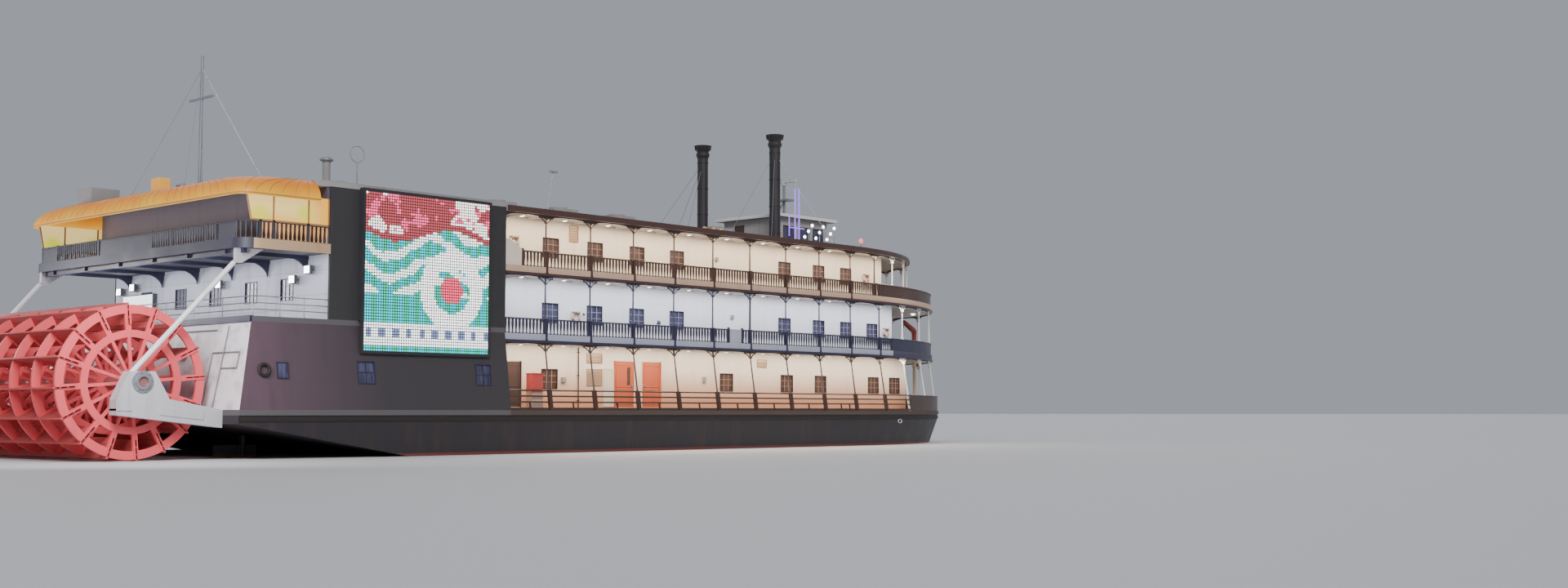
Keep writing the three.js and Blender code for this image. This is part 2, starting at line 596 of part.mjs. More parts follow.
// Main deck rails: sloping posts and three pipes from the house to the bow
const PIPE_HEIGHTS = [0.4, 0.67, 0.93];
const PIPE_H = 0.06;
const TOE_H = 0.13;
const MAIN_CEILING = SECOND_FLOOR - DECK_T;
function mainRail() {
  const low = MAIN_FLOOR + TOUCH;
  const high = MAIN_CEILING - TOUCH;
  const ends = [HOUSE_AFT + TOUCH - POST_W / 2, ...POST_STATIONS];
  const holes = [];
  for (let k = 0; k + 1 < ends.length; k += 1) {
    const left = ends[k] + POST_W / 2;
    const right = ends[k + 1] - POST_W / 2;
    let floor = MAIN_FLOOR + TOE_H;
    for (const height of PIPE_HEIGHTS) {
      holes.push(rectangle(left, right, floor, MAIN_FLOOR + height - PIPE_H));
      floor = MAIN_FLOOR + height;
    }
    const crown = high - 0.06;
    const tuck = 0.35;
    holes.push([[left, floor], [right, floor], [right, crown - tuck], [right - tuck, crown],
      [left + tuck, crown], [left, crown - tuck]]);
  }
  const plate = elevation(rectangle(HOUSE_AFT + TOUCH, BOW_START - TOUCH, low, high), holes,
    -SIDE + GALLERY_INSET, -SIDE + GALLERY_INSET + 0.08);
  const place = plate.attributes.position;
  for (let i = 0; i < place.count; i += 1) {
    place.setY(i, place.getY(i) - (FLARE * (high - place.getZ(i))) / (high - low));
  }
  return plate;
}
addPair('main_rail', mainRail(), TRIM_BROWN);
const bowFeet = bowCurve(MAIN_SIDE - BOW_INSET, BOW_START, BOW_TIP - BOW_INSET);
const bowHeads = bowCurve(SIDE - BOW_INSET, BOW_START, UPPER_TIP - BOW_INSET);
const POST_SPARE = 0.5;
const slopingPosts = BOW_POSTS.map((k) => bar(
  new THREE.Vector3(bowFeet[k].x, bowFeet[k].y, MAIN_FLOOR - POST_SPARE),
  new THREE.Vector3(bowHeads[k].x, bowHeads[k].y, MAIN_CEILING + POST_SPARE), BOW_POST_W));
const PIPED_STEPS = 4;
const bowPipes = [bowFeet.slice(0, PIPED_STEPS + 2), bowFeet.slice(-PIPED_STEPS - 2)].flatMap((end) => [
  sweep(end, band(-PIPE_H / 2, PIPE_H / 2, MAIN_FLOOR + TOUCH, MAIN_FLOOR + TOE_H)),
  ...PIPE_HEIGHTS.map((height) =>
    sweep(end, band(-PIPE_H / 2, PIPE_H / 2, MAIN_FLOOR + height - PIPE_H, MAIN_FLOOR + height))),
]);
const bulwark = sweep(bowFeet.slice(PIPED_STEPS, BOW_STEPS + 1 - PIPED_STEPS),
  band(-PARAPET_T, PARAPET_T, MAIN_FLOOR + TOUCH, MAIN_FLOOR + PIPE_HEIGHTS[2]));
const aboveBow = slab(deckOutline(20, -30, BOW_START, 60), MAIN_CEILING - TOUCH, MAIN_CEILING + 2);
const belowBow = slab(deckOutline(20, -30, BOW_START, 60), MAIN_FLOOR - 2, MAIN_FLOOR + TOUCH);
add('main_rail_bow', cut(join(bulwark, ...bowPipes, ...slopingPosts), aboveBow, belowBow), TRIM_BROWN);

// Balcony rail round the third deck's stern
const RAIL_IN = 0.12;
const railPath = balconyPath(RAIL_IN, BALCONY_R - RAIL_IN, SCREEN_AFT - WALL_T - TOUCH);
const balconyPosts = [railPath[CORNER_STEPS + 1], railPath[CORNER_STEPS + 2],
  ...[-7.05, -6.3, -3.45, -1.8, 3, 6.3, 7.05].map((y) => new THREE.Vector2(X(BALCONY_AFT) + RAIL_IN, y)),
  ...[-11.75, -10.2].flatMap((station) =>
    [-1, 1].map((side) => new THREE.Vector2(X(station), side * (SIDE - RAIL_IN))))];
const balconyPost = (point) => upright(point.x + MIDSHIP, point.y, THIRD_STERN + TOUCH, THIRD_STERN + RAIL_TOP,
  0.055, 6);
add('balcony_rail', join(
  sweep(railPath, band(-0.05, 0.05, THIRD_STERN + TOUCH, THIRD_STERN + CURB_H)),
  sweep(railPath, band(-0.05, 0.05, THIRD_STERN + RAIL_TOP - RAIL_H, THIRD_STERN + RAIL_TOP)),
  ...balconyPosts.map(balconyPost)), TRIM_BROWN);

// Canopy: a quarter barrel that falls from the roof's edge round the stern, over a square outer corner
const canopyProfile = [];
for (const [share, way] of [[1, 1], [1 - CANOPY.thick / CANOPY.drop, -1]]) {
  for (let k = 0; k <= 5; k += 1) {
    const angle = ((way > 0 ? k : 5 - k) / 5) * (Math.PI / 2);
    canopyProfile.push([share * Math.sin(angle), share * Math.cos(angle) - 1]);
  }
}
const canopyRound = anticlockwise(canopyProfile);
const canopyOuter = balconyPath(CANOPY.outer, CANOPY.outerR, CANOPY.fore - TOUCH);
const canopyRings = balconyPath(CANOPY.inner, CANOPY.innerR, CANOPY.fore - TOUCH).map((p, i) =>
  canopyRound.map(([share, fall]) => [
    p.x + (canopyOuter[i].x - p.x) * share,
    p.y + (canopyOuter[i].y - p.y) * share,
    ROOF_STERN + CANOPY.drop * fall,
  ]));
add('stern_canopy', skin(canopyRings, canopyRound), AMBER);

// Platform rail: three pipes round the second deck's open stern
const platform = { aft: UPPER_TRANSOM + 0.1, fore: SCREEN_AFT - TOUCH, half: SIDE - 0.1 };
const platformPosts = [-9.15, -6.1, -3.05, 0, 3.05, 6.1, 9.15];
const corner = (station, y, z) => new THREE.Vector3(X(station), y, z);
const pipes = [0.27, 0.53, 0.8].flatMap((height) => {
  const z = SECOND_STERN + height;
  const { aft, fore, half } = platform;
  return [
    bar(corner(aft, -half, z), corner(aft, half, z), 0.05),
    bar(corner(aft, -half, z), corner(fore, -half, z), 0.05),
    bar(corner(aft, half, z), corner(fore, half, z), 0.05),
  ];
});
add('platform_rail', join(...pipes,
  ...platformPosts.map((y) => upright(platform.aft, y, SECOND_STERN + TOUCH, SECOND_STERN + 0.83, 0.04, 6))),
STEEL);

// Wheel arms: beams that run aft beside the wheel, each with its bearing, and a brace from the bearing to
// a knee under the balcony
const ARM = { y0: -8.5, y1: -7.95, aft: -17.7 };
const BORE_R = (SHAFT_R + 1.5 * TOUCH) / Math.cos(Math.PI / SHAFT_FACETS);
const bore = [];
for (let k = 0; k < SHAFT_FACETS; k += 1) {
  const angle = (2 * Math.PI * k) / SHAFT_FACETS;
  bore.push([WHEEL_STATION + BORE_R * Math.cos(angle), WHEEL_HEIGHT + BORE_R * Math.sin(angle)]);
}
const armOutline = [[TRANSOM - TOUCH, 2.85], [TRANSOM - TOUCH, MAIN_FLOOR], [-15.6, 3.95], [-16.2, 5.0],
  [-17.2, 5.0], [ARM.aft, 3.95], [ARM.aft, 3.35]];
const KNEE = { y0: -8.7, y1: -8.5, top: THIRD_STERN - DECK_T - TOUCH };
const kneeOutline = [[-13.1, KNEE.top], [-13.1, 9.35], [-12.85, 9.35], [-11.9, KNEE.top]];
const braceFoot = corner(-17.1, (ARM.y0 + ARM.y1) / 2, 4.85);
const braceHead = corner(-13, (KNEE.y0 + KNEE.y1) / 2, 9.5);
addPair('wheel_arm', join(elevation(armOutline, [bore], ARM.y0, ARM.y1), bar(braceFoot, braceHead, 0.13),
  elevation(kneeOutline, [], KNEE.y0, KNEE.y1)), WHITE);

// Paddle wheel: spoked frames that carry the boards, on one shaft
function wheelFrame(y) {
  const point = (radius, angle) =>
    [WHEEL_STATION + radius * Math.cos(angle), WHEEL_HEIGHT + radius * Math.sin(angle)];
  const circle = (radius, steps) =>
    Array.from({ length: steps }, (_, k) => point(radius, WHEEL_TURN + (2 * Math.PI * k) / steps));
  const holes = [];
  const runs = [[HUB_R, INNER_RING[0], SPOKE_W], [INNER_RING[1], OUTER_RING[0], ARM_W]];
  for (let k = 0; k < SPOKES; k += 1) {
    const from = WHEEL_TURN + (2 * Math.PI * k) / SPOKES;
    const to = from + (2 * Math.PI) / SPOKES;
    for (const [inner, outer, width] of runs) {
      const innerLean = Math.asin(width / 2 / inner);
      const outerLean = Math.asin(width / 2 / outer);
      holes.push([point(inner, from + innerLean), point(outer, from + outerLean),
        point(outer, (from + to) / 2), point(outer, to - outerLean), point(inner, to - innerLean)]);
    }
  }
  holes.push(circle(SHAFT_R + TOUCH * 3, SHAFT_FACETS));
  return elevation(circle(OUTER_RING[1], 2 * SPOKES), holes, y - FRAME_T / 2, y + FRAME_T / 2);
}
const boards = [];
for (let k = 0; k < SPOKES; k += 1) {
  const angle = WHEEL_TURN + (2 * Math.PI * k) / SPOKES;
  const board = new THREE.BoxGeometry(WHEEL_R - BOARD_INNER_R, 2 * WHEEL_HALF, BOARD_T);
  board.translate((WHEEL_R + BOARD_INNER_R) / 2, 0, 0).rotateY(-angle);
  boards.push(board.translate(X(WHEEL_STATION), 0, WHEEL_HEIGHT));
}
add('paddle_wheel', join(...FRAME_SIDES.map(wheelFrame), ...boards), CORAL);
const shaft = new THREE.CylinderGeometry(SHAFT_R, SHAFT_R, -2 * ARM.y0, SHAFT_FACETS);
shaft.rotateY(Math.PI / 2 + Math.PI / SHAFT_FACETS);
add('paddle_shaft', shaft.translate(X(WHEEL_STATION), 0, WHEEL_HEIGHT), STEEL);

// Rudders, hung on stocks under the raked stern
const RUDDER = { station: -10.6, y: -5.2, stockR: 0.12, top: 2.1, low: 0.3, aft: 1.3, fore: 0.6, t: 0.12 };
const rakeAt = (station) =>
  WATERLINE + ((station - RAKE_AFT) / (TRANSOM - RAKE_AFT)) * (RAKE_TOP - WATERLINE);
addPair('rudder', join(
  box(RUDDER.station - RUDDER.aft, RUDDER.station + RUDDER.fore, RUDDER.y - RUDDER.t / 2,
    RUDDER.y + RUDDER.t / 2, RUDDER.low, RUDDER.top),
  upright(RUDDER.station, RUDDER.y, RUDDER.low + 0.2, rakeAt(RUDDER.station + RUDDER.stockR) - 2 * TOUCH,
    RUDDER.stockR)), HULL_GREY);

// Pilothouse on the roof, with its own roof and a door in its aft wall
const PILOT = { aft: 26.2, fore: 30.6, half: 2.3, height: 2.4, sill: 1.0, top: 1.9, doorW: 0.8, doorTop: 2.1 };
const pilotLow = ROOF_TOP + TOUCH;
const pilotHigh = ROOF_TOP + PILOT.height;
const pilotDoorY = [0.6, 0.6 + PILOT.doorW];
const sideWindows = [27.05, 28.4, 29.75].map((middle) => box(middle - 0.5, middle + 0.5, -5, 5,
  ROOF_TOP + PILOT.sill, ROOF_TOP + PILOT.top));
const frontWindows = [-1.45, 0, 1.45].map((y) => box(PILOT.fore - 1, PILOT.fore + 1, y - 0.6, y + 0.6,
  ROOF_TOP + PILOT.sill, ROOF_TOP + PILOT.top));
add('pilothouse', cut(box(PILOT.aft, PILOT.fore, -PILOT.half, PILOT.half, pilotLow, pilotHigh),
  box(PILOT.aft + WALL_T, PILOT.fore - WALL_T, -PILOT.half + WALL_T, PILOT.half - WALL_T, 0, 20),
  ...sideWindows, ...frontWindows,
  box(PILOT.aft - 1, PILOT.aft + 1, pilotDoorY[0], pilotDoorY[1], ROOF_TOP + DOOR_SILL,
    ROOF_TOP + PILOT.doorTop)), WHITE);
add('pilothouse_roof', box(PILOT.aft - 0.35, PILOT.fore + 0.5, -PILOT.half - 0.35, PILOT.half + 0.35,
  pilotHigh + TOUCH, pilotHigh + 0.16), TRIM_BROWN);
const pilotPin = { x: PILOT.aft - PIVOT_OUT, y: pilotDoorY[0] + CLEAR + PIVOT_R };
add('pilothouse_door', join(
  box(PILOT.aft, PILOT.aft + LEAF_T, pilotDoorY[0] + CLEAR, pilotDoorY[1] - CLEAR,
    ROOF_TOP + DOOR_SILL + CLEAR, ROOF_TOP + PILOT.doorTop - CLEAR),
  box(pilotPin.x, PILOT.aft + LEAF_T / 2, pilotPin.y - PIVOT_R, pilotPin.y + PIVOT_R,
    ROOF_TOP + DOOR_SILL + CLEAR, ROOF_TOP + PILOT.doorTop - CLEAR),
  upright(pilotPin.x, pilotPin.y, ROOF_TOP + TOUCH, ROOF_TOP + PILOT.doorTop + CLEAR, PIVOT_R)), BROWN_DOOR);

// Smokestacks, with a flared crown and an open mouth
const STACK = { station: 25, y: -3, radius: 0.33, top: 19.9 };
const stackProfile = [[0, 0], [0.45, 0], [0.45, 0.12], [STACK.radius, 0.3], [STACK.radius, 6.3], [0.42, 6.5],
  [0.42, 6.6], [0.36, 6.7], [0.55, 7.1], [0.45, 7.1], [0.27, 6.6], [0.27, 5.8], [0, 5.8]];
const stack = new THREE.LatheGeometry(stackProfile.map(([r, z]) => new THREE.Vector2(r, z)), 16);
stack.rotateX(Math.PI / 2).translate(X(STACK.station), STACK.y, ROOF_TOP + TOUCH);
addPair('smokestack', stack, STACK_BLACK);

// Radar mast on the pilothouse, and the scanner that turns on it
const MAST = { station: 29.2, top: 17.6 };
const mastLow = pilotHigh + 0.16 + TOUCH;
add('radar_mast', join(upright(MAST.station, 0, mastLow, MAST.top, 0.09),
  box(MAST.station - 0.35, MAST.station + 0.35, -0.6, 0.6, 16.6, 16.7),
  bar(corner(MAST.station - 0.9, 0, mastLow + 0.05), corner(MAST.station, 0, 16.6), 0.07)), STEEL);
add('radar_scanner', join(upright(MAST.station, 0, MAST.top + TOUCH, MAST.top + 0.2, 0.13),
  box(MAST.station - 0.09, MAST.station + 0.09, -0.95, 0.95, MAST.top + 0.15, MAST.top + 0.33)), WHITE);

// Davit on the second deck's bow
const DAVIT = { station: 36.4, y: -4.65, height: 1.55 };
add('davit_pedestal', join(upright(DAVIT.station, DAVIT.y, SECOND_FLOOR + TOUCH, SECOND_FLOOR + 0.08, 0.3),
  upright(DAVIT.station, DAVIT.y, SECOND_FLOOR + 0.04, SECOND_FLOOR + DAVIT.height, 0.15)), RED_DOOR);
const davitTop = SECOND_FLOOR + DAVIT.height + TOUCH;
add('davit_boom', join(upright(DAVIT.station, DAVIT.y, davitTop, davitTop + 0.25, 0.17),
  bar(corner(DAVIT.station + 0.1, DAVIT.y, davitTop + 0.14),
    corner(DAVIT.station - 1.1, DAVIT.y, davitTop + 0.75), 0.18)), RED_DOOR);

// Stern mast on the roof
const STERN_MAST = { station: -10, top: 19.4 };
add('stern_mast', join(upright(STERN_MAST.station, 0, ROOF_STERN + TOUCH, STERN_MAST.top, 0.07),
  box(STERN_MAST.station - 0.05, STERN_MAST.station + 0.05, -1, 1, 17.4, 17.5)), STEEL);

export default boat;
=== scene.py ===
import math

import bpy
import numpy as np
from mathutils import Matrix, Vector


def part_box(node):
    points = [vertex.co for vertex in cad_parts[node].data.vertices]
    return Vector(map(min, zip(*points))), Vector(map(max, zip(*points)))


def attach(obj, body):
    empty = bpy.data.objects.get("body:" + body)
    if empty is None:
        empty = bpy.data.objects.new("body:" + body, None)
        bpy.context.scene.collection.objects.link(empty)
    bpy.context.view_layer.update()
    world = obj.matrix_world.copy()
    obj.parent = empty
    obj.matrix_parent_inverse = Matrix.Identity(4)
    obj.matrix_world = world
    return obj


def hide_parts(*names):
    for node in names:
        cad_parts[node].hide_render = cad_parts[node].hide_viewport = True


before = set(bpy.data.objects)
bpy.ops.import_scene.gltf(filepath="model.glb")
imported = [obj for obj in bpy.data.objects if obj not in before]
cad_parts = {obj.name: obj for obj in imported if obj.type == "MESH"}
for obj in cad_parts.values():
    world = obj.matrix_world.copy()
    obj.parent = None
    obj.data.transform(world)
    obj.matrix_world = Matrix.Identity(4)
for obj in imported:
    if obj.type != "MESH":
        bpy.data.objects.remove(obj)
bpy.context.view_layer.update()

# Camera
# The photograph is taken from a low place off the starboard quarter, with a lens of about 38 mm
# that is tipped up so that the horizon lies below the middle of the picture.
SCALE = 0.5
MIDSHIP = 10.375
PHOTO_WIDTH = 1920
FOCAL_PIXELS = 2006
HORIZON_DROP = 145
VIEWPOINT = [-46.8, -67.65, 3.45]
HEADING = (0.747, 0.665)


def model(points):
    """[station, y, height] in real metres to the model's own place: (point - midship) x scale."""
    return (np.asarray(points, float) - [MIDSHIP, 0, 0]) * SCALE


pitch = math.atan2(HORIZON_DROP, FOCAL_PIXELS)
eye = bpy.data.cameras.new("photo_camera")
eye.lens = FOCAL_PIXELS / PHOTO_WIDTH * eye.sensor_width
eye.clip_end = 2000
camera = bpy.data.objects.new("photo_camera", eye)
camera.location = model(VIEWPOINT)
look = Vector((HEADING[0] * math.cos(pitch), HEADING[1] * math.cos(pitch), math.sin(pitch)))
camera.rotation_euler = look.to_track_quat("-Z", "Y").to_euler()
bpy.context.scene.collection.objects.link(camera)
bpy.context.scene.camera = camera

# Hull
# Flat steel plates welded on frames, painted dark grey over a red boot-top at the waterline, with
# rust that has run from the deck's edge. A rubbing strake is welded round it under the main deck,
# and a cast hawse lip is let into either bow.
STATION, ACROSS, UP = 0, 1, 2


class Flow:
    """A number, vector or colour on its way through a material; sums on a number add Math nodes."""

    def __init__(self, finish, socket):
        self.finish = finish
        self.socket = socket

    def math(self, operation, *others):
        """The operation on this number and the others, as a Math node."""
        return self.finish.node("ShaderNodeMath", [self, *others], operation=operation)

    def __add__(self, other):
        return self.math("ADD", other)

    def __sub__(self, other):
        return self.math("SUBTRACT", other)

    def __mul__(self, other):
        return self.math("MULTIPLY", other)

    def __truediv__(self, other):
        return self.math("DIVIDE", other)

    def __rsub__(self, other):
        return self.finish.node("ShaderNodeMath", [other, self], operation="SUBTRACT")

    def __gt__(self, other):
        return self.math("GREATER_THAN", other)

    def __lt__(self, other):
        return self.math("LESS_THAN", other)

    def __abs__(self):
        return self.math("ABSOLUTE")

    __radd__ = __add__

    def clip(self):
        """The number itself between 0 and 1, and the nearer of the two outside them."""
        return self.finish.node("ShaderNodeClamp", [self])

    def fade(self, low, high):
        """0 below the low value, 1 above the high one, and even between them."""
        return ((self - low) / (high - low)).clip()


class Finish:
    """A material on one Principled shader and the nodes that vary it; it keeps a slot name that nothing uses.
    """

    def __init__(self, name, color, roughness=0.5, metallic=0.0, coat=0.0, slot="white_paint"):
        self.material = bpy.data.materials.new(name)
        self.material.use_nodes = True
        self.tree = self.material.node_tree
        self.shader = self.tree.nodes["Principled BSDF"]
        self.color = color
        self.slot = slot
        self.set("Base Color", color)
        self.set("Roughness", roughness)
        self.set("Metallic", metallic)
        self.set("Coat Weight", coat)
        object_place = self.node("ShaderNodeTexCoord", out="Object")
        self.place = self.node("ShaderNodeMapping", {
            "Vector": object_place, "Scale": (1 / SCALE,) * 3, "Location": (MIDSHIP, 0, 0)})

    def put(self, socket, value):
        """Links a flow to a socket, or sets its value, with 1 added to a colour of three numbers."""
        if isinstance(value, Flow):
            self.tree.links.new(value.socket, socket)
        elif hasattr(value, "__len__") and socket.type == "RGBA" and len(value) == 3:
            socket.default_value = (*value, 1)
        else:
            socket.default_value = value

    def node(self, kind, values=(), out=0, **settings):
        """Any node: its settings first, then the values or links of its sockets."""
        made = self.tree.nodes.new(kind)
        for key, value in settings.items():
            setattr(made, key, value)
        for key, value in values.items() if isinstance(values, dict) else enumerate(values):
            self.put(made.inputs[key], value)
        return Flow(self, made.outputs[out])

    def set(self, name, value):
        """Puts a value or a flow into the shader's input of that name."""
        self.put(self.shader.inputs[name], value)
        return self

    def axes(self, vector=None):
        """The three numbers of a vector, by default the point's own [station, y, height]."""
        split = self.node("ShaderNodeSeparateXYZ", [vector or self.place])
        return [Flow(self, output) for output in split.socket.node.outputs]

    def facing(self):
        """The three numbers of the way that the surface looks."""
        return self.axes(self.node("ShaderNodeTexCoord", out="Normal"))

    def mix(self, share, first, second):
        """The first colour where share is 0, the second where it is 1."""
        return self.node("ShaderNodeMix", {0: share, 6: first, 7: second}, out=2, data_type="RGBA")

    def cover(self, share, color):
        """Lays another colour over the finish's own, where share is 1."""
        self.color = self.mix(share, self.color, color)
        return self.set("Base Color", self.color)

    def noise(self, scale, stretch=(1, 1, 1), detail=3.0):
        """Cloudy values about 0.5 whose clouds are 1/scale metres across, drawn out along an axis."""
        where = self.node("ShaderNodeMapping", {"Vector": self.place, "Scale": stretch})
        return self.node("ShaderNodeTexNoise", {"Vector": where, "Scale": scale, "Detail": detail}, out="Fac")

    def groove(self, along, step, width):
        """1 within a band of that width at each multiple of the step, otherwise 0."""
        return abs((along / step).math("FRACT") - 0.5) > 0.5 - width / step / 2

    def raise_by(self, height, strength, distance):
        """Bumps the surface by a height from 0 to 1."""
        bump = self.node("ShaderNodeBump", {
            "Height": height, "Strength": strength, "Distance": distance * SCALE}, out="Normal")
        return self.set("Normal", bump)

    def glow(self, color, strength):
        """Gives off light, colour x strength."""
        self.shader.inputs["Emission Strength"].default_value = strength
        return self.set("Emission Color", color)


def painted(name, color, stain, share=0.35, roughness=0.5, plates=None, metallic=0.0, slot="white_paint"):
    """Paint on steel: cloudy fading, thin streaks that run down, and seams between its plates."""
    paint = Finish(name, color, roughness, metallic, slot=slot)
    clouds = paint.noise(0.7)
    streaks = paint.noise(2.2, stretch=(1, 1, 0.12), detail=5.0)
    dirt = ((streaks - 0.52) * 3.0).clip() * share + ((clouds - 0.5) * 1.2).clip() * share * 0.5
    paint.cover(dirt.clip(), stain)
    paint.set("Roughness", roughness + (clouds - 0.5) * 0.25)
    height = clouds * 0.4
    if plates:
        along, across, up = paint.axes()
        upright_seams = paint.groove(along + across, plates[0], 0.03)
        height = height - upright_seams.math("MAXIMUM", paint.groove(up, plates[1], 0.03))
    return paint.raise_by(height, 0.35, 0.012)


def dress(finish, *nodes):
    """Gives the boat's own solids a finish."""
    for name in nodes:
        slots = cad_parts[name].data.materials
        slots.clear()
        slots.append(finish.material)


WATERLINE = 1.6
hull_paint = painted("hull_paint", (0.024, 0.021, 0.026), (0.085, 0.045, 0.03), 0.45, plates=(2.4, 1.1))
hull_paint.cover(hull_paint.axes()[UP] < WATERLINE + 0.12, (0.15, 0.035, 0.03))
dress(hull_paint, "hull")


def span(node, axis):
    """A node's lowest and highest value along one axis, in real metres."""
    low, high = (np.array(corner) / SCALE + [MIDSHIP, 0, 0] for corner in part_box(node))
    return low[axis], high[axis]


TRANSOM, BOW_TIP = span("main_deck", STATION)
MAIN_SIDE = span("main_deck", ACROSS)[1]
MAIN_LOW, MAIN_FLOOR = span("main_deck", UP)
DECK_T = MAIN_FLOOR - MAIN_LOW
HULL_SIDE = span("hull", ACROSS)[1]
HULL_TIP = span("hull", STATION)[1]
BOW_START = 24.5
CURVE_POINTS = 1441
SHARP_EDGE = math.radians(40)


def distances(path):
    """How far each point of a path lies along it."""
    return np.concatenate([[0], np.cumsum(np.linalg.norm(np.diff(path, axis=0), axis=1))])


def resampled(path, wanted, marks):
    """The points of a path at the wanted values of its marks, on straight lines between its points."""
    return np.stack([np.interp(wanted, marks, column) for column in path.T], -1)


def bow_curve(half, tip, steps=56):
    """Half an ellipse round the bow, (start + reach cos a, half sin a), port first, in equal steps."""
    angle = np.linspace(np.pi / 2, -np.pi / 2, CURVE_POINTS)
    curve = np.stack([BOW_START + (tip - BOW_START) * np.cos(angle), half * np.sin(angle)], -1)
    run = distances(curve)
    return resampled(curve, np.linspace(0, run[-1], steps + 1), run)


def level(plan, height):
    """A plan's [station, y] points at one height."""
    return np.insert(np.asarray(plan, float), 2, height, axis=1)


def deck_edge(half, aft, tip, height):
    """The way round a deck's edge from its port stern corner, round the bow, to its starboard one."""
    return level([[aft, half], *bow_curve(half, tip), [aft, -half]], height)


def quads(rows, cols, loop=False):
    """Faces between neighbours of rows x cols points whose rows are rings; loop closes the columns."""
    r = np.arange(rows if loop else rows - 1)[:, None]
    c = np.arange(cols)[None]
    r2, c2 = (r + 1) % rows, (c + 1) % cols
    return np.stack([r * cols + c, r * cols + c2, r2 * cols + c2, r2 * cols + c], -1).reshape(-1, 4)


def outward(part):
    """Turns all faces round where the signed volume, the sum of a . (b x c) / 6, is below zero."""
    points, groups = part
    volume = sum(np.vdot(points[group[:, 0]], np.cross(points[group[:, k]], points[group[:, k + 1]]))
                 for group in groups for k in range(1, group.shape[1] - 1))
    return part if volume > 0 else (points, [group[:, ::-1] for group in groups])


def lofted(grid, loop=False):
    """The skin over a grid of points whose rows are rings, with flat ends unless it is a loop."""
    rows, cols = grid.shape[:2]
    end = np.arange(cols)[None]
    ends = [] if loop else [end[:, ::-1], end + (rows - 1) * cols]
    return outward((grid.reshape(-1, 3), [quads(rows, cols, loop), *ends]))


def unit(vectors):
    """Vectors over their own lengths, v / |v|."""
    return vectors / np.linalg.norm(vectors, axis=-1, keepdims=True)


def carried(path, profile, up=(0, 0, 1), closed=False):
    """A closed [side, up] profile carried along a path and mitred at its bends.

    A point is path + side x left x mitre + up x rise, where left = up x way and rise = way x left. The
    profile is one outline, or one for each point of the path.
    """
    path, profile = np.asarray(path, float), np.asarray(profile, float)
    profile = np.broadcast_to(profile, (len(path), *profile.shape[-2:]))
    back, on = path - np.roll(path, 1, 0), np.roll(path, -1, 0) - path
    if not closed:
        back[0], on[-1] = on[0], back[-1]
    back = unit(back)
    way = unit(back + unit(on))
    left = unit(np.cross(up, way))
    rise = np.cross(way, left)
    mitre = 1 / np.clip((left * unit(np.cross(up, back))).sum(1), 0.5, 1)
    sideways = (left * mitre[:, None])[:, None]
    return lofted(path[:, None] + profile[:, :, :1] * sideways + profile[:, :, 1:] * rise[:, None], closed)


def gather(*parts):
    """Several parts as one; a part is its points and a list of arrays of faces."""
    starts = np.cumsum([0] + [len(points) for points, _ in parts])
    faces = [group + start for (_, groups), start in zip(parts, starts) for group in groups]
    return np.concatenate([points for points, _ in parts]), faces


def mirrored(part, axis=ACROSS):
    """The mirror image of a part, with its faces still outwards."""
    sign = np.ones(3)
    sign[axis] = -1
    return part[0] * sign, [group[:, ::-1] for group in part[1]]


def both(*parts):
    """Parts on the starboard side and their mirror images on the port side."""
    one = gather(*parts)
    return gather(one, mirrored(one))


def repeated(points, groups):
    """Copies of a part, from an array of copies x points x 3 and the faces of one."""
    step = (np.arange(len(points)) * points.shape[1])[:, None, None]
    return points.reshape(-1, 3), [(group[None] + step).reshape(-1, group.shape[1]) for group in groups]


def stamped(part, feet, turns=0.0):
    """Copies of a part that stands about the origin, each turned about the vertical and set on its foot."""
    points, groups = part
    feet = np.atleast_2d(feet).astype(float)
    turns = np.broadcast_to(turns, len(feet))
    cos, sin = np.cos(turns)[:, None], np.sin(turns)[:, None]
    x, y, z = points.T[:, None]
    return repeated(np.stack([cos * x - sin * y, sin * x + cos * y, z + 0 * cos], -1) + feet[:, None], groups)


def polygon(sides, shift=0.0):
    """The corners of a regular polygon, (cos a, sin a), begun that share of a step past a = 0."""
    angle = (np.arange(sides) + shift) * 2 * np.pi / sides
    return np.stack([np.cos(angle), np.sin(angle)], -1)


def spun(section, steps, flat=1.0):
    """A closed [radius, y] section spun about the y axis: (r cos a, y, flat r sin a)."""
    r, y = np.asarray(section, float).T
    cos, sin = polygon(steps).T[..., None]
    return lofted(np.stack([r * cos, y + 0 * cos, flat * r * sin], -1), loop=True)


def hoop(radius, tube, flat=1.0, steps=24, sides=8):
    """A ring about the y axis whose section is round."""
    return spun(polygon(sides) * tube + [radius, 0], steps, flat)


def piece(name, part, finish, body="boat", replaces=(), bevel=0.0):
    """Makes the mesh, rounds its edges by a bevel in real metres, and lets it ride on its body."""
    points, groups = part
    mesh = bpy.data.meshes.new(name)
    mesh.from_pydata(model(points).tolist(), [], [face for group in groups for face in group.tolist()])
    mesh.polygons.foreach_set("use_smooth", [True] * len(mesh.polygons))
    mesh.set_sharp_from_angle(angle=SHARP_EDGE)
    mesh.materials.append(finish.material)
    made = bpy.data.objects.new(name, mesh)
    bpy.context.scene.collection.objects.link(made)
    if bevel:
        rounding = made.modifiers.new("edges", "BEVEL")
        rounding.width = bevel * SCALE
        rounding.segments = 2
        rounding.limit_method = "ANGLE"
    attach(made, body)
    if replaces:
        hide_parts(*replaces)


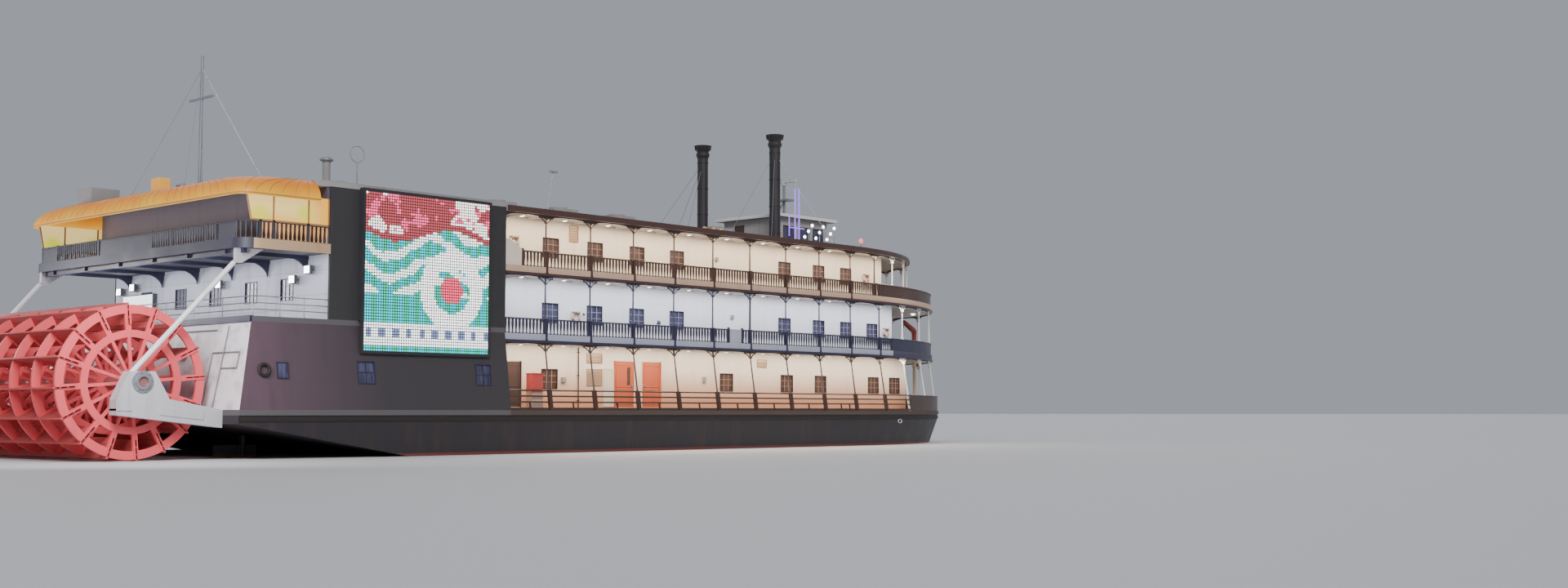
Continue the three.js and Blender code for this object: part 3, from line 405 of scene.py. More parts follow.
strake_paint = painted("strake_paint", (0.02, 0.014, 0.013), (0.012, 0.009, 0.008), 0.5, 0.65,
                       slot="hull_grey")
strake_path = deck_edge(HULL_SIDE, TRANSOM + 0.02, HULL_TIP, MAIN_LOW - 0.16)
strake = [[-0.01, -0.1], [0.025, -0.1], [0.042, -0.06], [0.042, 0.06], [0.025, 0.1], [-0.01, 0.1]]
piece("rubbing_strake", carried(strake_path, strake), strake_paint)
HAWSE_STATION, HAWSE_Z = 28.8, 2.95
hawse_y = -HULL_SIDE * math.sqrt(1 - ((HAWSE_STATION - BOW_START) / (HULL_TIP - BOW_START)) ** 2)
hawse_lip = stamped(hoop(0.2, 0.045, flat=0.55), [HAWSE_STATION, hawse_y, HAWSE_Z], math.radians(9))
# Painted highlight: the lips' pale grey stands for the glint on the cast hawse lips.
piece("hawse_lips", both(hawse_lip), painted("hawse_painted_glint", (0.5, 0.49, 0.48), (0.2, 0.13, 0.1), 0.5))

# Decks
# Steel decks laid with planks fore and aft that are worn pale in patches, and painted white below,
# where the beams and round ceiling lamps show. A fascia board stands round each upper deck's edge
# over a thin lip that is drawn dark as painted shade. The boards' peach on the third deck and pale
# blue on the second are painted light, warm and cold after each deck's lamps, and round the second
# deck's bow the pale blue turns dark as painted shade.
SECOND_FLOOR, THIRD_FLOOR, ROOF_TOP = (span(deck, UP)[0] + DECK_T
                                       for deck in ("second_deck", "third_deck", "roof"))
SECOND_STERN, THIRD_STERN = span("second_deck", UP)[1], span("third_deck", UP)[1]
CANOPY_LOW, ROOF_STERN = span("stern_canopy", UP)
FLOORS = {"main": MAIN_FLOOR, "second": SECOND_FLOOR, "third": THIRD_FLOOR}
CEILINGS = {"main": SECOND_FLOOR - DECK_T, "second": THIRD_FLOOR - DECK_T, "third": ROOF_TOP - DECK_T}
UPPER_TRANSOM, UPPER_TIP = span("second_deck", STATION)
ROOF_TIP = span("roof", STATION)[1]
SIDE, ROOF_SIDE = span("second_deck", ACROSS)[1], span("roof", ACROSS)[1]
WALL_Y, HOUSE_AFT = -span("second_wall_port", ACROSS)[1], span("second_wall_port", STATION)[0]
POSTS = [2.31, 5.05, 7.84, 10.61, 13.41, 16.2, 19.04, 21.82, 24.52]
WHITE, WHITE_STAIN = (0.78, 0.75, 0.71), (0.5, 0.42, 0.33)


def planked(name, edge):
    """Planks on faces that look up, the edge's own colour, and white below, or grey under the stern."""
    deck = Finish(name, edge, roughness=0.65)
    station, across, _ = deck.axes()
    tone = deck.noise(9.0, stretch=(0.03, 1, 1), detail=2.0)
    wear = deck.noise(0.5)
    seam = deck.groove(across, 0.14, 0.012)
    wood = deck.mix(tone, (0.15, 0.11, 0.08), (0.28, 0.22, 0.165))
    wood = deck.mix(((wear - 0.5) * 2).clip() * 0.5, wood, (0.4, 0.36, 0.3))
    wood = deck.mix(seam, wood, (0.05, 0.045, 0.04))
    facing = deck.facing()[UP]
    grime = (wear - 0.45).clip()
    under_stern = station < HOUSE_AFT
    deck.cover(under_stern, (0.1, 0.095, 0.1))
    deck.cover(grime, (0.1, 0.08, 0.07))
    deck.cover(facing > 0.5, wood)
    deck.cover(facing < -0.5, deck.mix(under_stern, deck.mix(grime, WHITE, WHITE_STAIN), (0.14, 0.14, 0.17)))
    deck.set("Roughness", 0.55 + wear * 0.25)
    return deck.raise_by(tone * 0.3 - seam, 0.5, 0.01)


dress(planked("main_deck_planks", (0.07, 0.05, 0.043)), "main_deck")
dress(planked("upper_deck_planks", (0.4, 0.36, 0.36)), "second_deck", "third_deck")
roof_paint = painted("roof_paint", (0.32, 0.31, 0.31), (0.14, 0.12, 0.11), 0.5, 0.7, plates=(2.8, 3.0))
dress(roof_paint.cover(roof_paint.facing()[UP] < -0.5, WHITE), "roof")

# Painted light and shade: the fascia's peach and pale blue stand for warm and cold lamplight on one board,
# and forward of the bow's parapets the pale blue is drawn dark as painted shade.
peach = painted("warm_lit_fascia", (0.62, 0.42, 0.31), (0.33, 0.18, 0.12), 0.4)
pale_blue = painted("cold_lit_fascia", (0.4, 0.41, 0.52), (0.2, 0.19, 0.25))
parapet_from = bow_curve(SIDE, UPPER_TIP, 28)[3][STATION]
pale_blue.cover(pale_blue.axes()[STATION] > parapet_from, (0.05, 0.048, 0.08))
# The gallery iron is painted white, as the bow posts show. These dark colours are its painted shade where it
# stands against the lit walls, warm brown on the third and main decks and navy on the second after each
# deck's lamps; the lips, frames and fittings share them.
IRON = {"third": ((0.075, 0.036, 0.03), (0.035, 0.02, 0.018)),
        "second": ((0.03, 0.029, 0.066), (0.016, 0.015, 0.03)),
        "main": ((0.06, 0.032, 0.026), (0.03, 0.02, 0.018))}
TRIMS = {deck: painted(f"{deck}_trim", *colors, 0.4, 0.4, slot="trim_brown") for deck, colors in IRON.items()}
third_trim, second_trim, main_trim = TRIMS.values()

board = [[-0.04, -0.12], [0.012, -0.12], [0.012, 0.15], [0, 0.17], [-0.04, 0.17]]
lip = [[-0.02, -0.235], [0.05, -0.235], [0.065, -0.2], [0.065, -0.14], [0.05, -0.12], [-0.02, -0.12]]
roof_lip = [[-0.02, -0.235], [0.035, -0.235], [0.06, -0.17], [0.06, -0.03], [0.03, 0.03], [-0.02, 0.03]]
second_edge = deck_edge(SIDE, HOUSE_AFT, UPPER_TIP, SECOND_FLOOR)
third_edge = deck_edge(SIDE, HOUSE_AFT, UPPER_TIP, THIRD_FLOOR)
roof_edge = deck_edge(ROOF_SIDE, HOUSE_AFT, ROOF_TIP, ROOF_TOP)
piece("second_fascia", carried(second_edge, board), pale_blue)
piece("third_fascia", carried(third_edge, board), peach)
piece("second_lip", carried(second_edge, lip), second_trim)
piece("third_lip", gather(carried(third_edge, lip), carried(roof_edge, roof_lip)), third_trim)


def blocks(rows):
    """Boxes, one for each row of [aft, fore, y0, y1, low, high]."""
    rows = np.atleast_2d(np.asarray(rows, float))
    square = [[0, 0], [1, 0], [1, 1], [0, 1]]
    corners = np.concatenate([level(square, 0), level(square, 1)])
    sides = np.array([[0, 3, 2, 1], [4, 5, 6, 7], [0, 1, 5, 4], [1, 2, 6, 5], [2, 3, 7, 6], [3, 0, 4, 7]])
    lows, highs = rows[:, 0::2], rows[:, 1::2]
    return repeated(lows[:, None] + corners * (highs - lows)[:, None], [sides])


def turned(profile, feet=(0, 0, 0), sides=12):
    """A [radius, height] profile spun about an upright axis: (r cos a, r sin a, h), ends closed flat."""
    profile = np.asarray(profile, float)
    ring = polygon(sides, 0.5)
    grid = np.concatenate([profile[:, None, :1] * ring, profile[:, None, 1:] + 0 * ring[:, :1]], -1)
    return stamped(lofted(grid), feet)


def lit(name, color, roughness, cloud, dim, bright, strength, slot="white_paint"):
    """A lamp's glass, whose light is a little cloudy."""
    glass = Finish(name, color, roughness, slot=slot)
    return glass.glow(glass.mix(glass.noise(cloud), dim, bright), strength)


RAIL_PLANE = SIDE - 0.1
LAMP_Y = -8.5
bays = np.array([HOUSE_AFT, *POSTS])
mid_bays = (bays[:-1] + bays[1:]) / 2
beams = [[s - 0.05, s + 0.05, -RAIL_PLANE, WALL_Y, top - 0.1, top + 0.01]
         for top in CEILINGS.values() for s in [*POSTS[:-1], *mid_bays]]
piece("ceiling_beams", both(blocks(beams)), painted("beam_paint", WHITE, WHITE_STAIN, 0.3), bevel=0.01)
lamp_glass = lit("lamp_glass", (1, 0.95, 0.85), 0.3, 20.0, (1, 0.86, 0.62), (1, 0.97, 0.9), 5.0)
bowl = [[0.15, 0], [0.15, -0.03], [0.12, -0.07], [0.06, -0.1], [0.01, -0.11]]
bowl_feet = [[s + 0.3, LAMP_Y, top] for top in CEILINGS.values() for s in mid_bays]
piece("ceiling_lamps", both(turned(bowl, bowl_feet)), lamp_glass)

# House walls
# Welded steel walls painted off-white and lit by the ceiling lamps, whose tint is also painted into
# each deck's colour: warm on the third and main decks, cold on the second. On the main deck a
# painted warm glow from below turns the walls peach towards the floor.
RUST = (0.5, 0.38, 0.27)
# Painted light: the third and main decks' off-white carries the lamps' warm tint, the second's their cold
# one.
WALL_COLORS = {"third": ((0.84, 0.73, 0.6), RUST),
               "second": ((0.75, 0.76, 0.83), (0.48, 0.45, 0.45)),
               "main": ((0.82, 0.75, 0.66), RUST)}
WALLS = {deck: painted(f"{deck}_wall_paint", *colors, 0.3, plates=(2.79, 4.0))
         for deck, colors in WALL_COLORS.items()}
# Painted light: a warm glow from below turns the main deck's walls peach towards the floor.
warm_floor_glow = 1 - WALLS["main"].axes()[UP].fade(MAIN_FLOOR + 0.5, MAIN_FLOOR + 2.1)
WALLS["main"].cover(warm_floor_glow * 0.95, (0.68, 0.31, 0.17))
for deck, finish in WALLS.items():
    dress(finish, f"{deck}_wall_starboard", f"{deck}_wall_port", f"{deck}_wall_front")


def on_wall(rows):
    """Boxes whose y is counted inwards from the starboard house wall."""
    points, faces = blocks(rows)
    return points + [0, WALL_Y, 0], faces


SKIRTING_FORE = 31.2
skirting = on_wall([[HOUSE_AFT, SKIRTING_FORE, -0.02, 0.01, MAIN_FLOOR, MAIN_FLOOR + 0.12]])
piece("wall_skirting", both(skirting), main_trim)

# Windows
# Square windows in thin dark frames with nine panes between pale glazing bars, pinkish brown on
# the third and main decks and grey blue on the second, and curtains behind dark glass.
SIDE_WINDOWS = {
    "main": (MAIN_FLOOR + 1.03, [3.7, 15.8, 20.6, 23.45, 28.2, 30.2]),
    "second": (SECOND_FLOOR + 0.83, [3.7, 6.5, 9.3, 12.1, 20.4, 23.3, 25.7, 28.1]),
    "third": (THIRD_FLOOR + 0.83, [3.7, 6.5, 9.3, 12.1, 20.4, 23.3, 25.7])}
FRONT_WINDOWS = [-5.6, -2.9, 2.9, 5.6]
AFT_WINDOWS = [-6.05, -3.2, -0.2, 2.85, 6.05]
SCREEN_AFT = span("second_wall_aft", STATION)[0]
TO_STARBOARD, TO_PORT, FORWARD, AFTWARD = 0, math.pi, math.pi / 2, -math.pi / 2


def window(width, height=0.9, panes=2):
    """The frame, the bars and the glass of a window that faces -y, about the middle of its sill."""
    half, rim, lap, bar = width / 2, 0.022, 0.01, 0.013
    outer = half + rim
    rim_part = blocks([[-outer, outer, -0.03, 0.05, -rim, lap],
                       [-outer, outer, -0.03, 0.05, height - lap, height + rim],
                       [-outer, -half + lap, -0.025, 0.05, 0, height],
                       [half - lap, outer, -0.025, 0.05, 0, height]])
    shares = np.arange(1, panes) / panes
    thin = [[at - bar, at + bar, 0.012, 0.03, 0, height] for at in shares * width - half]
    thin += [[-half, half, 0.01, 0.032, at - bar, at + bar] for at in shares * height]
    return rim_part, blocks(thin), blocks([[-half, half, 0.035, 0.05, 0, height]])


def side_places(stations, y, sill):
    """The foot and turn of each window that looks out to starboard, and then to port."""
    return [([s, side * y, sill], turn)
            for side, turn in ((-1, TO_STARBOARD), (1, TO_PORT)) for s in stations]


brown_bars = painted("brown_window_bars", (0.36, 0.22, 0.18), (0.2, 0.12, 0.1), 0.3, 0.4, slot="brown_paint")
blue_bars = painted("blue_window_bars", (0.3, 0.3, 0.43), (0.2, 0.2, 0.28), 0.3, 0.4, slot="brown_paint")
blue_bars.cover(blue_bars.axes()[STATION] < HOUSE_AFT, (0.07, 0.07, 0.1))


def pane(name, dark, light):
    """Dark glass with a curtain behind it that shows as soft upright folds."""
    glass = Finish(name, dark, roughness=0.32, coat=0.15, slot="screen")
    folds = glass.noise(7.0, stretch=(1, 1, 0.15))
    return glass.cover(folds.fade(0.35, 0.65), light)


PANES = {"main": pane("brown_glass", (0.055, 0.03, 0.022), (0.12, 0.065, 0.045)),
         "second": pane("navy_glass", (0.03, 0.03, 0.06), (0.085, 0.085, 0.16)),
         "third": pane("dark_brown_glass", (0.05, 0.032, 0.029), (0.12, 0.078, 0.066))}
rim_part, bars_part, glass_part = window(0.95, panes=3)
for deck, (sill, middles) in SIDE_WINDOWS.items():
    fore = span(f"{deck}_wall_front", STATION)[1]
    places = side_places(middles, -WALL_Y, sill) + [([fore, y, sill], FORWARD) for y in FRONT_WINDOWS]
    if deck == "second":
        places += [([SCREEN_AFT, y, SECOND_STERN + 0.92], AFTWARD) for y in AFT_WINDOWS]
    feet_and_turns = list(zip(*places))
    bars_paint = blue_bars if deck == "second" else brown_bars
    piece(f"{deck}_window_bars", stamped(bars_part, *feet_and_turns), bars_paint)
    piece(f"{deck}_window_frames", stamped(rim_part, *feet_and_turns), TRIMS[deck])
    piece(f"{deck}_window_glass", stamped(glass_part, *feet_and_turns), PANES[deck])

# Doors
# Flat steel doors with welded panels and a lever handle, on pins in wall brackets: brown to the
# cabin, orange red to the entrance, whose aft door has a narrow dark light. A steel frame stands
# round each doorway except on its hinge side, where the open leaf passes.
red_door = painted("entrance_door_paint", (0.55, 0.12, 0.055), (0.3, 0.07, 0.04), 0.4, 0.4, slot="red_paint")
brown_door = painted("cabin_door_paint", (0.085, 0.05, 0.042), (0.05, 0.03, 0.026), 0.4, 0.45,
                     slot="brown_paint")
frame_paint = painted("door_frame_paint", (0.7, 0.62, 0.5), (0.4, 0.27, 0.18), 0.3)
handle_steel = painted("handle_steel", (0.5, 0.5, 0.52), (0.3, 0.28, 0.26), 0.3, 0.3, metallic=0.9,
                       slot="steel")
DOORS = [("cabin_door", 1.0, 2.0, 2.1, False, brown_door),
         ("entrance_door_aft", 7.8, 9.15, 2.25, True, red_door),
         ("entrance_door_fore", 9.7, 11.0, 2.25, False, red_door)]
DOOR_LOW = MAIN_FLOOR + 0.15
HANDLE_Z = DOOR_LOW + 1.06
MARGIN, BEAD, JAMB = 0.14, 0.05, 0.07
door_frames = []
for name, aft, fore, height, hinge_aft, finish in DOORS:
    top, middle = DOOR_LOW + height, DOOR_LOW + height * 0.42
    left, right = aft + MARGIN, fore - MARGIN
    rails = []
    for z0, z1 in ((DOOR_LOW + MARGIN, middle - BEAD), (middle + BEAD, top - MARGIN)):
        outline = [(left, right, z0, z0 + BEAD), (left, right, z1 - BEAD, z1),
                   (left, left + BEAD, z0, z1), (right - BEAD, right, z0, z1)]
        rails += [[a, b, -0.014, 0.01, c, d] for a, b, c, d in outline]
    latch, grip_end = (fore - 0.1, fore - 0.23) if hinge_aft else (aft + 0.1, aft + 0.23)
    lever = on_wall([[latch - 0.03, latch + 0.03, -0.012, 0.01, DOOR_LOW + 0.95, DOOR_LOW + 1.15],
                     [latch - 0.012, latch + 0.012, -0.06, 0, HANDLE_Z, HANDLE_Z + 0.024],
                     [*sorted((latch, grip_end)), -0.065, -0.045, HANDLE_Z, HANDLE_Z + 0.024]])
    post = [fore, fore + JAMB] if hinge_aft else [aft - JAMB, aft]
    door_frames.append(on_wall([[*post, -0.025, 0.02, DOOR_LOW - 0.05, top + JAMB],
                                [aft + 0.1, fore - 0.1, -0.025, 0.02, top, top + JAMB],
                                [aft + 0.1, fore - 0.1, -0.03, 0.02, DOOR_LOW - 0.06, DOOR_LOW - 0.015]]))
    light = on_wall([[right - 0.32, right - 0.12, -0.006, 0.01, middle + 0.15, top - 0.28]])
    for side, turn_over in (("starboard", lambda part: part), ("port", mirrored)):
        body = f"{side}_{name}"
        piece(f"{name}_panels_{side}", turn_over(on_wall(rails)), finish, body, bevel=0.006)
        piece(f"{name}_handle_{side}", turn_over(lever), handle_steel, body, bevel=0.004)
        if hinge_aft:
            piece(f"{name}_light_{side}", turn_over(light), PANES["main"], body)
        dress(finish, f"{name}_{side}")
piece("door_frames", both(*door_frames), frame_paint, bevel=0.006)

# Wall fittings
# Gear that is screwed to the house walls: life rings in clips, slatted louvres, drain pipes, small
# junction boxes, bells, and a framed notice panel with nothing on it. A steel hose cabinet stands
# on the deck inside the rail.
ring_paint = painted("life_ring_cover", (0.5, 0.44, 0.42), (0.25, 0.2, 0.2), 0.5, 0.6, slot="red_paint")
band_paint = painted("life_ring_bands", (0.4, 0.12, 0.06), (0.25, 0.08, 0.05), 0.4, slot="red_paint")
RING_R, RING_TUBE, BAND_PROUD = 0.225, 0.06, 0.006
ring_feet = [[s, WALL_Y - 0.08, z] for s, z in ([1.45, 11.39], [27.5, 11.24], [5.26, 8.04], [29.35, 8.17])]
ring = hoop(RING_R, RING_TUBE, steps=36, sides=12)
band_arcs = [start + np.radians([-14, -7, 0, 7, 14]) for start in np.radians([45, 135, 225, 315])]
ring_bands = [carried(RING_R * np.stack([np.cos(arc), 0 * arc, np.sin(arc)], -1),
                      polygon(12) * (RING_TUBE + BAND_PROUD), up=(0, 1, 0)) for arc in band_arcs]
clips = blocks([[x - 0.03, x + 0.03, -0.075, 0.09, z - 0.03, z + 0.03]
                for x, z in ((0, -0.31), (-0.19, 0.23), (0.19, 0.23))])
piece("life_rings", both(stamped(ring, ring_feet)), ring_paint)
piece("life_ring_bands", both(stamped(gather(*ring_bands), ring_feet)), band_paint)
piece("life_ring_clips", both(stamped(clips, ring_feet)), handle_steel, bevel=0.008)


def border(aft, fore, y0, y1, low, high, stile, rail):
    """Four bars that frame an outline: two across its whole width, and two upright between them."""
    return [[aft, fore, y0, y1, low, low + rail], [aft, fore, y0, y1, high - rail, high],
            [aft, aft + stile, y0, y1, low + rail, high - rail],
            [fore - stile, fore, y0, y1, low + rail, high - rail]]


SLAT_PITCH = 0.075


def louvre(aft, fore, low, high):
    """A frame and slats that lean out and down, each one a thin sheared box."""
    rim = border(aft - 0.03, fore + 0.03, -0.045, 0.01, low - 0.04, high + 0.04, 0.03, 0.04)
    heights = np.arange(low + SLAT_PITCH / 2, high - SLAT_PITCH / 3, SLAT_PITCH)
    slats, faces = blocks([[aft, fore, -0.035, 0, z, z + 0.014] for z in heights])
    slats[:, UP] += slats[:, ACROSS] * 0.9
    return gather(on_wall(rim), (slats + [0, WALL_Y, 0], faces))


LOUVRES = [(4.87, 5.37, 11.67, 12.38), (6.05, 6.98, 5.87, 6.27), (6.05, 6.98, 4.8, 5.51),
           (18.2, 18.9, 5.9, 6.25)]
piece("wall_louvres", both(*[louvre(*place) for place in LOUVRES]),
      painted("louvre_paint", (0.42, 0.26, 0.15), (0.2, 0.11, 0.06), 0.5))


def bars(starts, ends, radius, sides=8, far=None):
    """Straight round bars, start + r (cos a side + sin a up), each to its end, which may taper."""
    starts, ends = np.broadcast_arrays(np.atleast_2d(starts).astype(float), np.atleast_2d(ends).astype(float))
    way = unit(ends - starts)
    side = unit(np.cross(np.where(np.abs(way[:, 2:]) > 0.9, [[1.0, 0, 0]], [[0, 0, 1.0]]), way))
    cos, sin = polygon(sides, 0.5).T[:, None, :, None]
    ring = cos * side[:, None] + sin * np.cross(way, side)[:, None]
    points = [starts[:, None] + radius * ring, ends[:, None] + (far or radius) * ring]
    end = np.arange(sides)[None]
    return outward(repeated(np.concatenate(points, 1), [quads(2, sides), end[:, ::-1], end + sides]))


def wall_pipe(station, floor, top):
    """An upright pipe just off the starboard wall."""
    return bars([station, WALL_Y - 0.05, floor], [station, WALL_Y - 0.05, top], 0.03)


pipe_clips = on_wall([[5.42, 5.52, -0.09, 0, z, z + 0.04] for z in (4.0, 5.2, 6.3)])
piece("wall_pipe", both(wall_pipe(5.47, MAIN_FLOOR, CEILINGS["main"]),
                        wall_pipe(17.6, SECOND_FLOOR, CEILINGS["second"]), pipe_clips), main_trim)
piece("wall_boxes", both(on_wall([[4.39, 4.66, -0.12, 0, 4.87, 5.12], [14.0, 14.2, -0.1, 0, 5.0, 5.3],
                                  [16.1, 16.3, -0.1, 0, 8.4, 8.6], [14.9, 15.1, -0.1, 0, 11.4, 11.6]])),
      painted("box_paint", (0.3, 0.27, 0.25), (0.15, 0.1, 0.08), slot="steel"), bevel=0.015)
bell = np.array([[0.09, -0.11], [0.1, -0.09], [0.085, 0.0], [0.05, 0.07], [0.015, 0.1]])
bell_arms = np.array([[10.75, WALL_Y, 8.06], [5.74, WALL_Y, 8.21]])
bells = [turned(bell, [10.75, WALL_Y - 0.1, 7.99]), turned(bell * 0.55, [5.74, WALL_Y - 0.1, 8.17])]
piece("wall_bells", both(*bells, bars(bell_arms - [0, 0.1, 0], bell_arms, 0.02)), second_trim)
notice = border(7.11, 7.8, -0.03, 0, 3.72, 5.6, 0.06, 0.08) + [[7.17, 7.74, -0.012, 0, 3.8, 5.52]]
piece("notice_panel", both(on_wall(notice)), frame_paint, bevel=0.004)
hose_paint = painted("hose_cabinet_paint", (0.62, 0.07, 0.06), (0.45, 0.3, 0.22), slot="red_paint")
pale_half = 1 - hose_paint.axes()[UP].fade(MAIN_FLOOR + 0.65, MAIN_FLOOR + 0.95)
hose_paint.cover(pale_half * 0.85, (0.66, 0.5, 0.38))
CABINET_TOP = MAIN_FLOOR + 1.65
piece("hose_cabinet", both(blocks([[1.36, 2.0, -9.42, -9.0, MAIN_FLOOR + 0.05, CABINET_TOP],
                                   [1.33, 2.03, -9.45, -8.98, CABINET_TOP, CABINET_TOP + 0.04],
                                   [1.41, 1.95, -9.435, -9.42, MAIN_FLOOR + 0.12, CABINET_TOP - 0.06]])),
      hose_paint, bevel=0.006)

# Stern base
# The main deck's aft house, whose welded walls slope out to the deck's edge: dirty white aft under
# floodlights, with a few pipes clipped to it, and dull mauve on its sides, with small windows. Its
# sides darken forward, away from the lit stern, in painted shade.
side_paint = painted("base_side_paint", (0.11, 0.066, 0.088), (0.06, 0.038, 0.048), 0.5, plates=(2.2, 1.15))
# Painted shade: the sides darken forward, away from the floodlit stern.
side_paint.cover(side_paint.axes()[STATION].fade(-12.5, -6.5), (0.045, 0.04, 0.045))
dirty_white = side_paint.mix(side_paint.noise(1.4).fade(0.5, 0.75), (0.82, 0.81, 0.84), (0.5, 0.46, 0.5))
dress(side_paint.cover(side_paint.facing()[STATION] < -0.5, dirty_white), "stern_base")
stern_paint = painted("stern_paint", (0.58, 0.59, 0.68), (0.32, 0.28, 0.28), 0.65, plates=(2.2, 0.85))
balcony_paint = painted("balcony_wall_paint", (0.125, 0.115, 0.165), (0.07, 0.07, 0.09), 0.5,
                        plates=(1.9, 2.6))
dress(stern_paint, "second_wall_aft")
dress(balcony_paint, "third_wall_aft")
dress(painted("engine_paint", (0.1, 0.17, 0.13), (0.05, 0.05, 0.05), 0.5), "engine_block")
BASE_TOP = span("stern_base", UP)[1]
LEAN = (MAIN_SIDE - SIDE) / (BASE_TOP - MAIN_FLOOR)


def leaning(part, foot):
    """A starboard part set on its foot and sheared outwards by LEAN for each metre below BASE_TOP."""
    points, groups = stamped(part, foot)
    drop = np.clip(BASE_TOP - points[:, UP:], 0, BASE_TOP - MAIN_FLOOR)
    return points - drop * [0, LEAN, 0], groups


base_rim, base_bars, base_glass = window(0.8)
base_feet = [[s, -SIDE, MAIN_FLOOR + 1.1] for s in (-1.5, -7.55)]
piece("base_window_frames", both(leaning(gather(base_rim, base_bars), base_feet)), second_trim)
piece("base_window_glass", both(leaning(base_glass, base_feet)), PANES["second"])
RING_STATION, PORT_STATION, PORT_Z = -12.28, -11.45, 5.12
piece("base_life_rings", both(leaning(ring, [RING_STATION, -SIDE - 0.07, PORT_Z])), strake_paint)
small_rim, _, small_glass = window(0.45, 0.6)
small_frame = leaning(small_rim, [PORT_STATION, -SIDE - 0.03, PORT_Z - 0.3])
small_pane = leaning(small_glass, [PORT_STATION, -SIDE - 0.06, PORT_Z - 0.3])
piece("base_small_frames", both(small_frame), second_trim)
piece("base_small_glass", both(small_pane), PANES["second"])
aft_ledge = blocks([[-12.76, -12.66, -SIDE, SIDE, SECOND_STERN - DECK_T - 0.02, SECOND_STERN + 0.02]])
piece("platform_edge", aft_ledge, second_trim, bevel=0.01)


def aft_place(y, z, proud=0.05):
    """A point just aft of the base's sloping aft wall: its station moves with the height."""
    share = (z - MAIN_FLOOR) / (BASE_TOP - MAIN_FLOOR)
    return [TRANSOM + (UPPER_TRANSOM - TRANSOM) * share - proud, y, z]


AFT_PIPES = [((-8.95, 5.83), (-6.9, 5.83)), ((-8.95, 5.85), (-8.95, 5.2)), ((-8.95, 5.2), (-7.75, 5.2)),
             ((-7.75, 6.9), (-7.75, 3.6)), ((-6.9, 5.85), (-6.9, 3.6)), ((-6.9, 6.75), (-3.2, 6.75))]
pipe_ends = [[aft_place(*place) for place in places] for places in zip(*AFT_PIPES)]
piece("aft_wall_pipes", both(bars(*pipe_ends, 0.025)),
      painted("pipe_grey", (0.22, 0.2, 0.22), (0.12, 0.1, 0.1), 0.5, slot="steel"))
flood_body = painted("floodlight_body", (0.1, 0.1, 0.11), (0.05, 0.05, 0.05), slot="steel")
flood_glass = lit("floodlight_glass", (0.95, 0.97, 1), 0.2, 12.0, (0.8, 0.88, 1), (1, 1, 1), 9.0)
lit_sign = lit("blank_lit_sign", (0.9, 0.92, 0.95), 0.4, 0.8, (0.85, 0.9, 1), (1, 1, 1), 1.6, slot="screen")
piece("aft_sign_face", blocks([[SCREEN_AFT - 0.22, SCREEN_AFT - 0.2, 5.15, 7.95, 7.9, 8.95]]), lit_sign)
piece("aft_sign_case", blocks([[SCREEN_AFT - 0.2, SCREEN_AFT, 5.1, 8.0, 7.85, 9.0]]), flood_body, bevel=0.02)
AFT_LIGHTS = [(-8.0, 9.35), (-6.85, 9.0), (-0.9, 9.1), (7.0, 9.35), (8.3, 9.2)]
aft_lights = [[SCREEN_AFT - 0.25, y, z] for y, z in AFT_LIGHTS] + [aft_place(-4.77, 5.89, 0.25)]
flood_box = blocks([[-0.22, 0.22, -0.04, 0.1, -0.18, 0.18], [-0.03, 0.03, 0.08, 0.27, -0.03, 0.03]])
flood_face = blocks([[-0.19, 0.19, -0.055, -0.035, -0.15, 0.15]])
piece("aft_floodlights", stamped(flood_box, aft_lights, AFTWARD), flood_body, bevel=0.012)
piece("aft_flood_glass", stamped(flood_face, aft_lights, AFTWARD), flood_glass)


def extruded(outline, y0, y1):
    """A [station, height] outline that is y0 to y1 thick."""
    return lofted(np.stack([np.insert(np.asarray(outline, float), 1, y, axis=1) for y in (y0, y1)]))


OVERHANG = THIRD_STERN - DECK_T
KNEES = (-7.6, -4.6, -1.7, 1.3, 4.5, 7.6)
sweep = np.linspace(0, np.pi / 2, 9)
knee_curve = np.stack([SCREEN_AFT - 1.27 + 1.2 * np.cos(sweep), OVERHANG - 0.72 + 0.65 * np.sin(sweep)], -1)
knee = [[SCREEN_AFT, OVERHANG], *knee_curve, [SCREEN_AFT - 1.27, OVERHANG]]
beams_aft = [[-13.0, SCREEN_AFT, y - 0.08, y + 0.08, OVERHANG - 0.16, OVERHANG + 0.01] for y in KNEES]
beams_aft += [[-12.9, -12.75, -8.9, 8.9, OVERHANG - 0.2, OVERHANG + 0.01]]
knees = [extruded(knee, y - 0.05, y + 0.05) for y in KNEES]
piece("balcony_knees", gather(*knees, blocks(beams_aft)), second_trim)
wall_seams = blocks([[SCREEN_AFT - 0.012, SCREEN_AFT, -9.1, 9.1, z, z + 0.03] for z in (7.75, 8.3, 9.3)])
seam_paint = painted("seam_paint", (0.5, 0.48, 0.5), (0.3, 0.2, 0.16), 0.6)
piece("aft_wall_seams", wall_seams, seam_paint, bevel=0.004)

# Screens
# Flat light screens hung on plain walls at the full breadth, two decks tall: seven by seven
# cabinets in a dark frame, each set with rows of small lights. The picture on them is a plain
# pattern of waves, a ring and bands. The walls round them are pale grey, drawn near black as
# painted shade beside the bright screens.
# Painted shade: the pale grey walls round the screens are drawn near black.
dress(painted("screen_wall_painted_shade", (0.034, 0.033, 0.037), (0.02, 0.019, 0.021), 0.4, 0.6, plates=(2.3, 1.9)),
      "screen_wall_starboard", "screen_wall_port")
dress(painted("screen_case", (0.025, 0.025, 0.03), (0.05, 0.05, 0.055), 0.3),
      "light_screen_starboard", "light_screen_port")
PANEL_AFT, PANEL_FORE = span("light_screen_port", STATION)
PANEL_LOW, PANEL_HIGH = span("light_screen_port", UP)
PANEL_OUT = span("light_screen_port", ACROSS)[1]
RIM, CABINETS, DOT = 0.12, 7, 0.118
screen_w, screen_h = PANEL_FORE - PANEL_AFT - 2 * RIM, PANEL_HIGH - PANEL_LOW - 2 * RIM
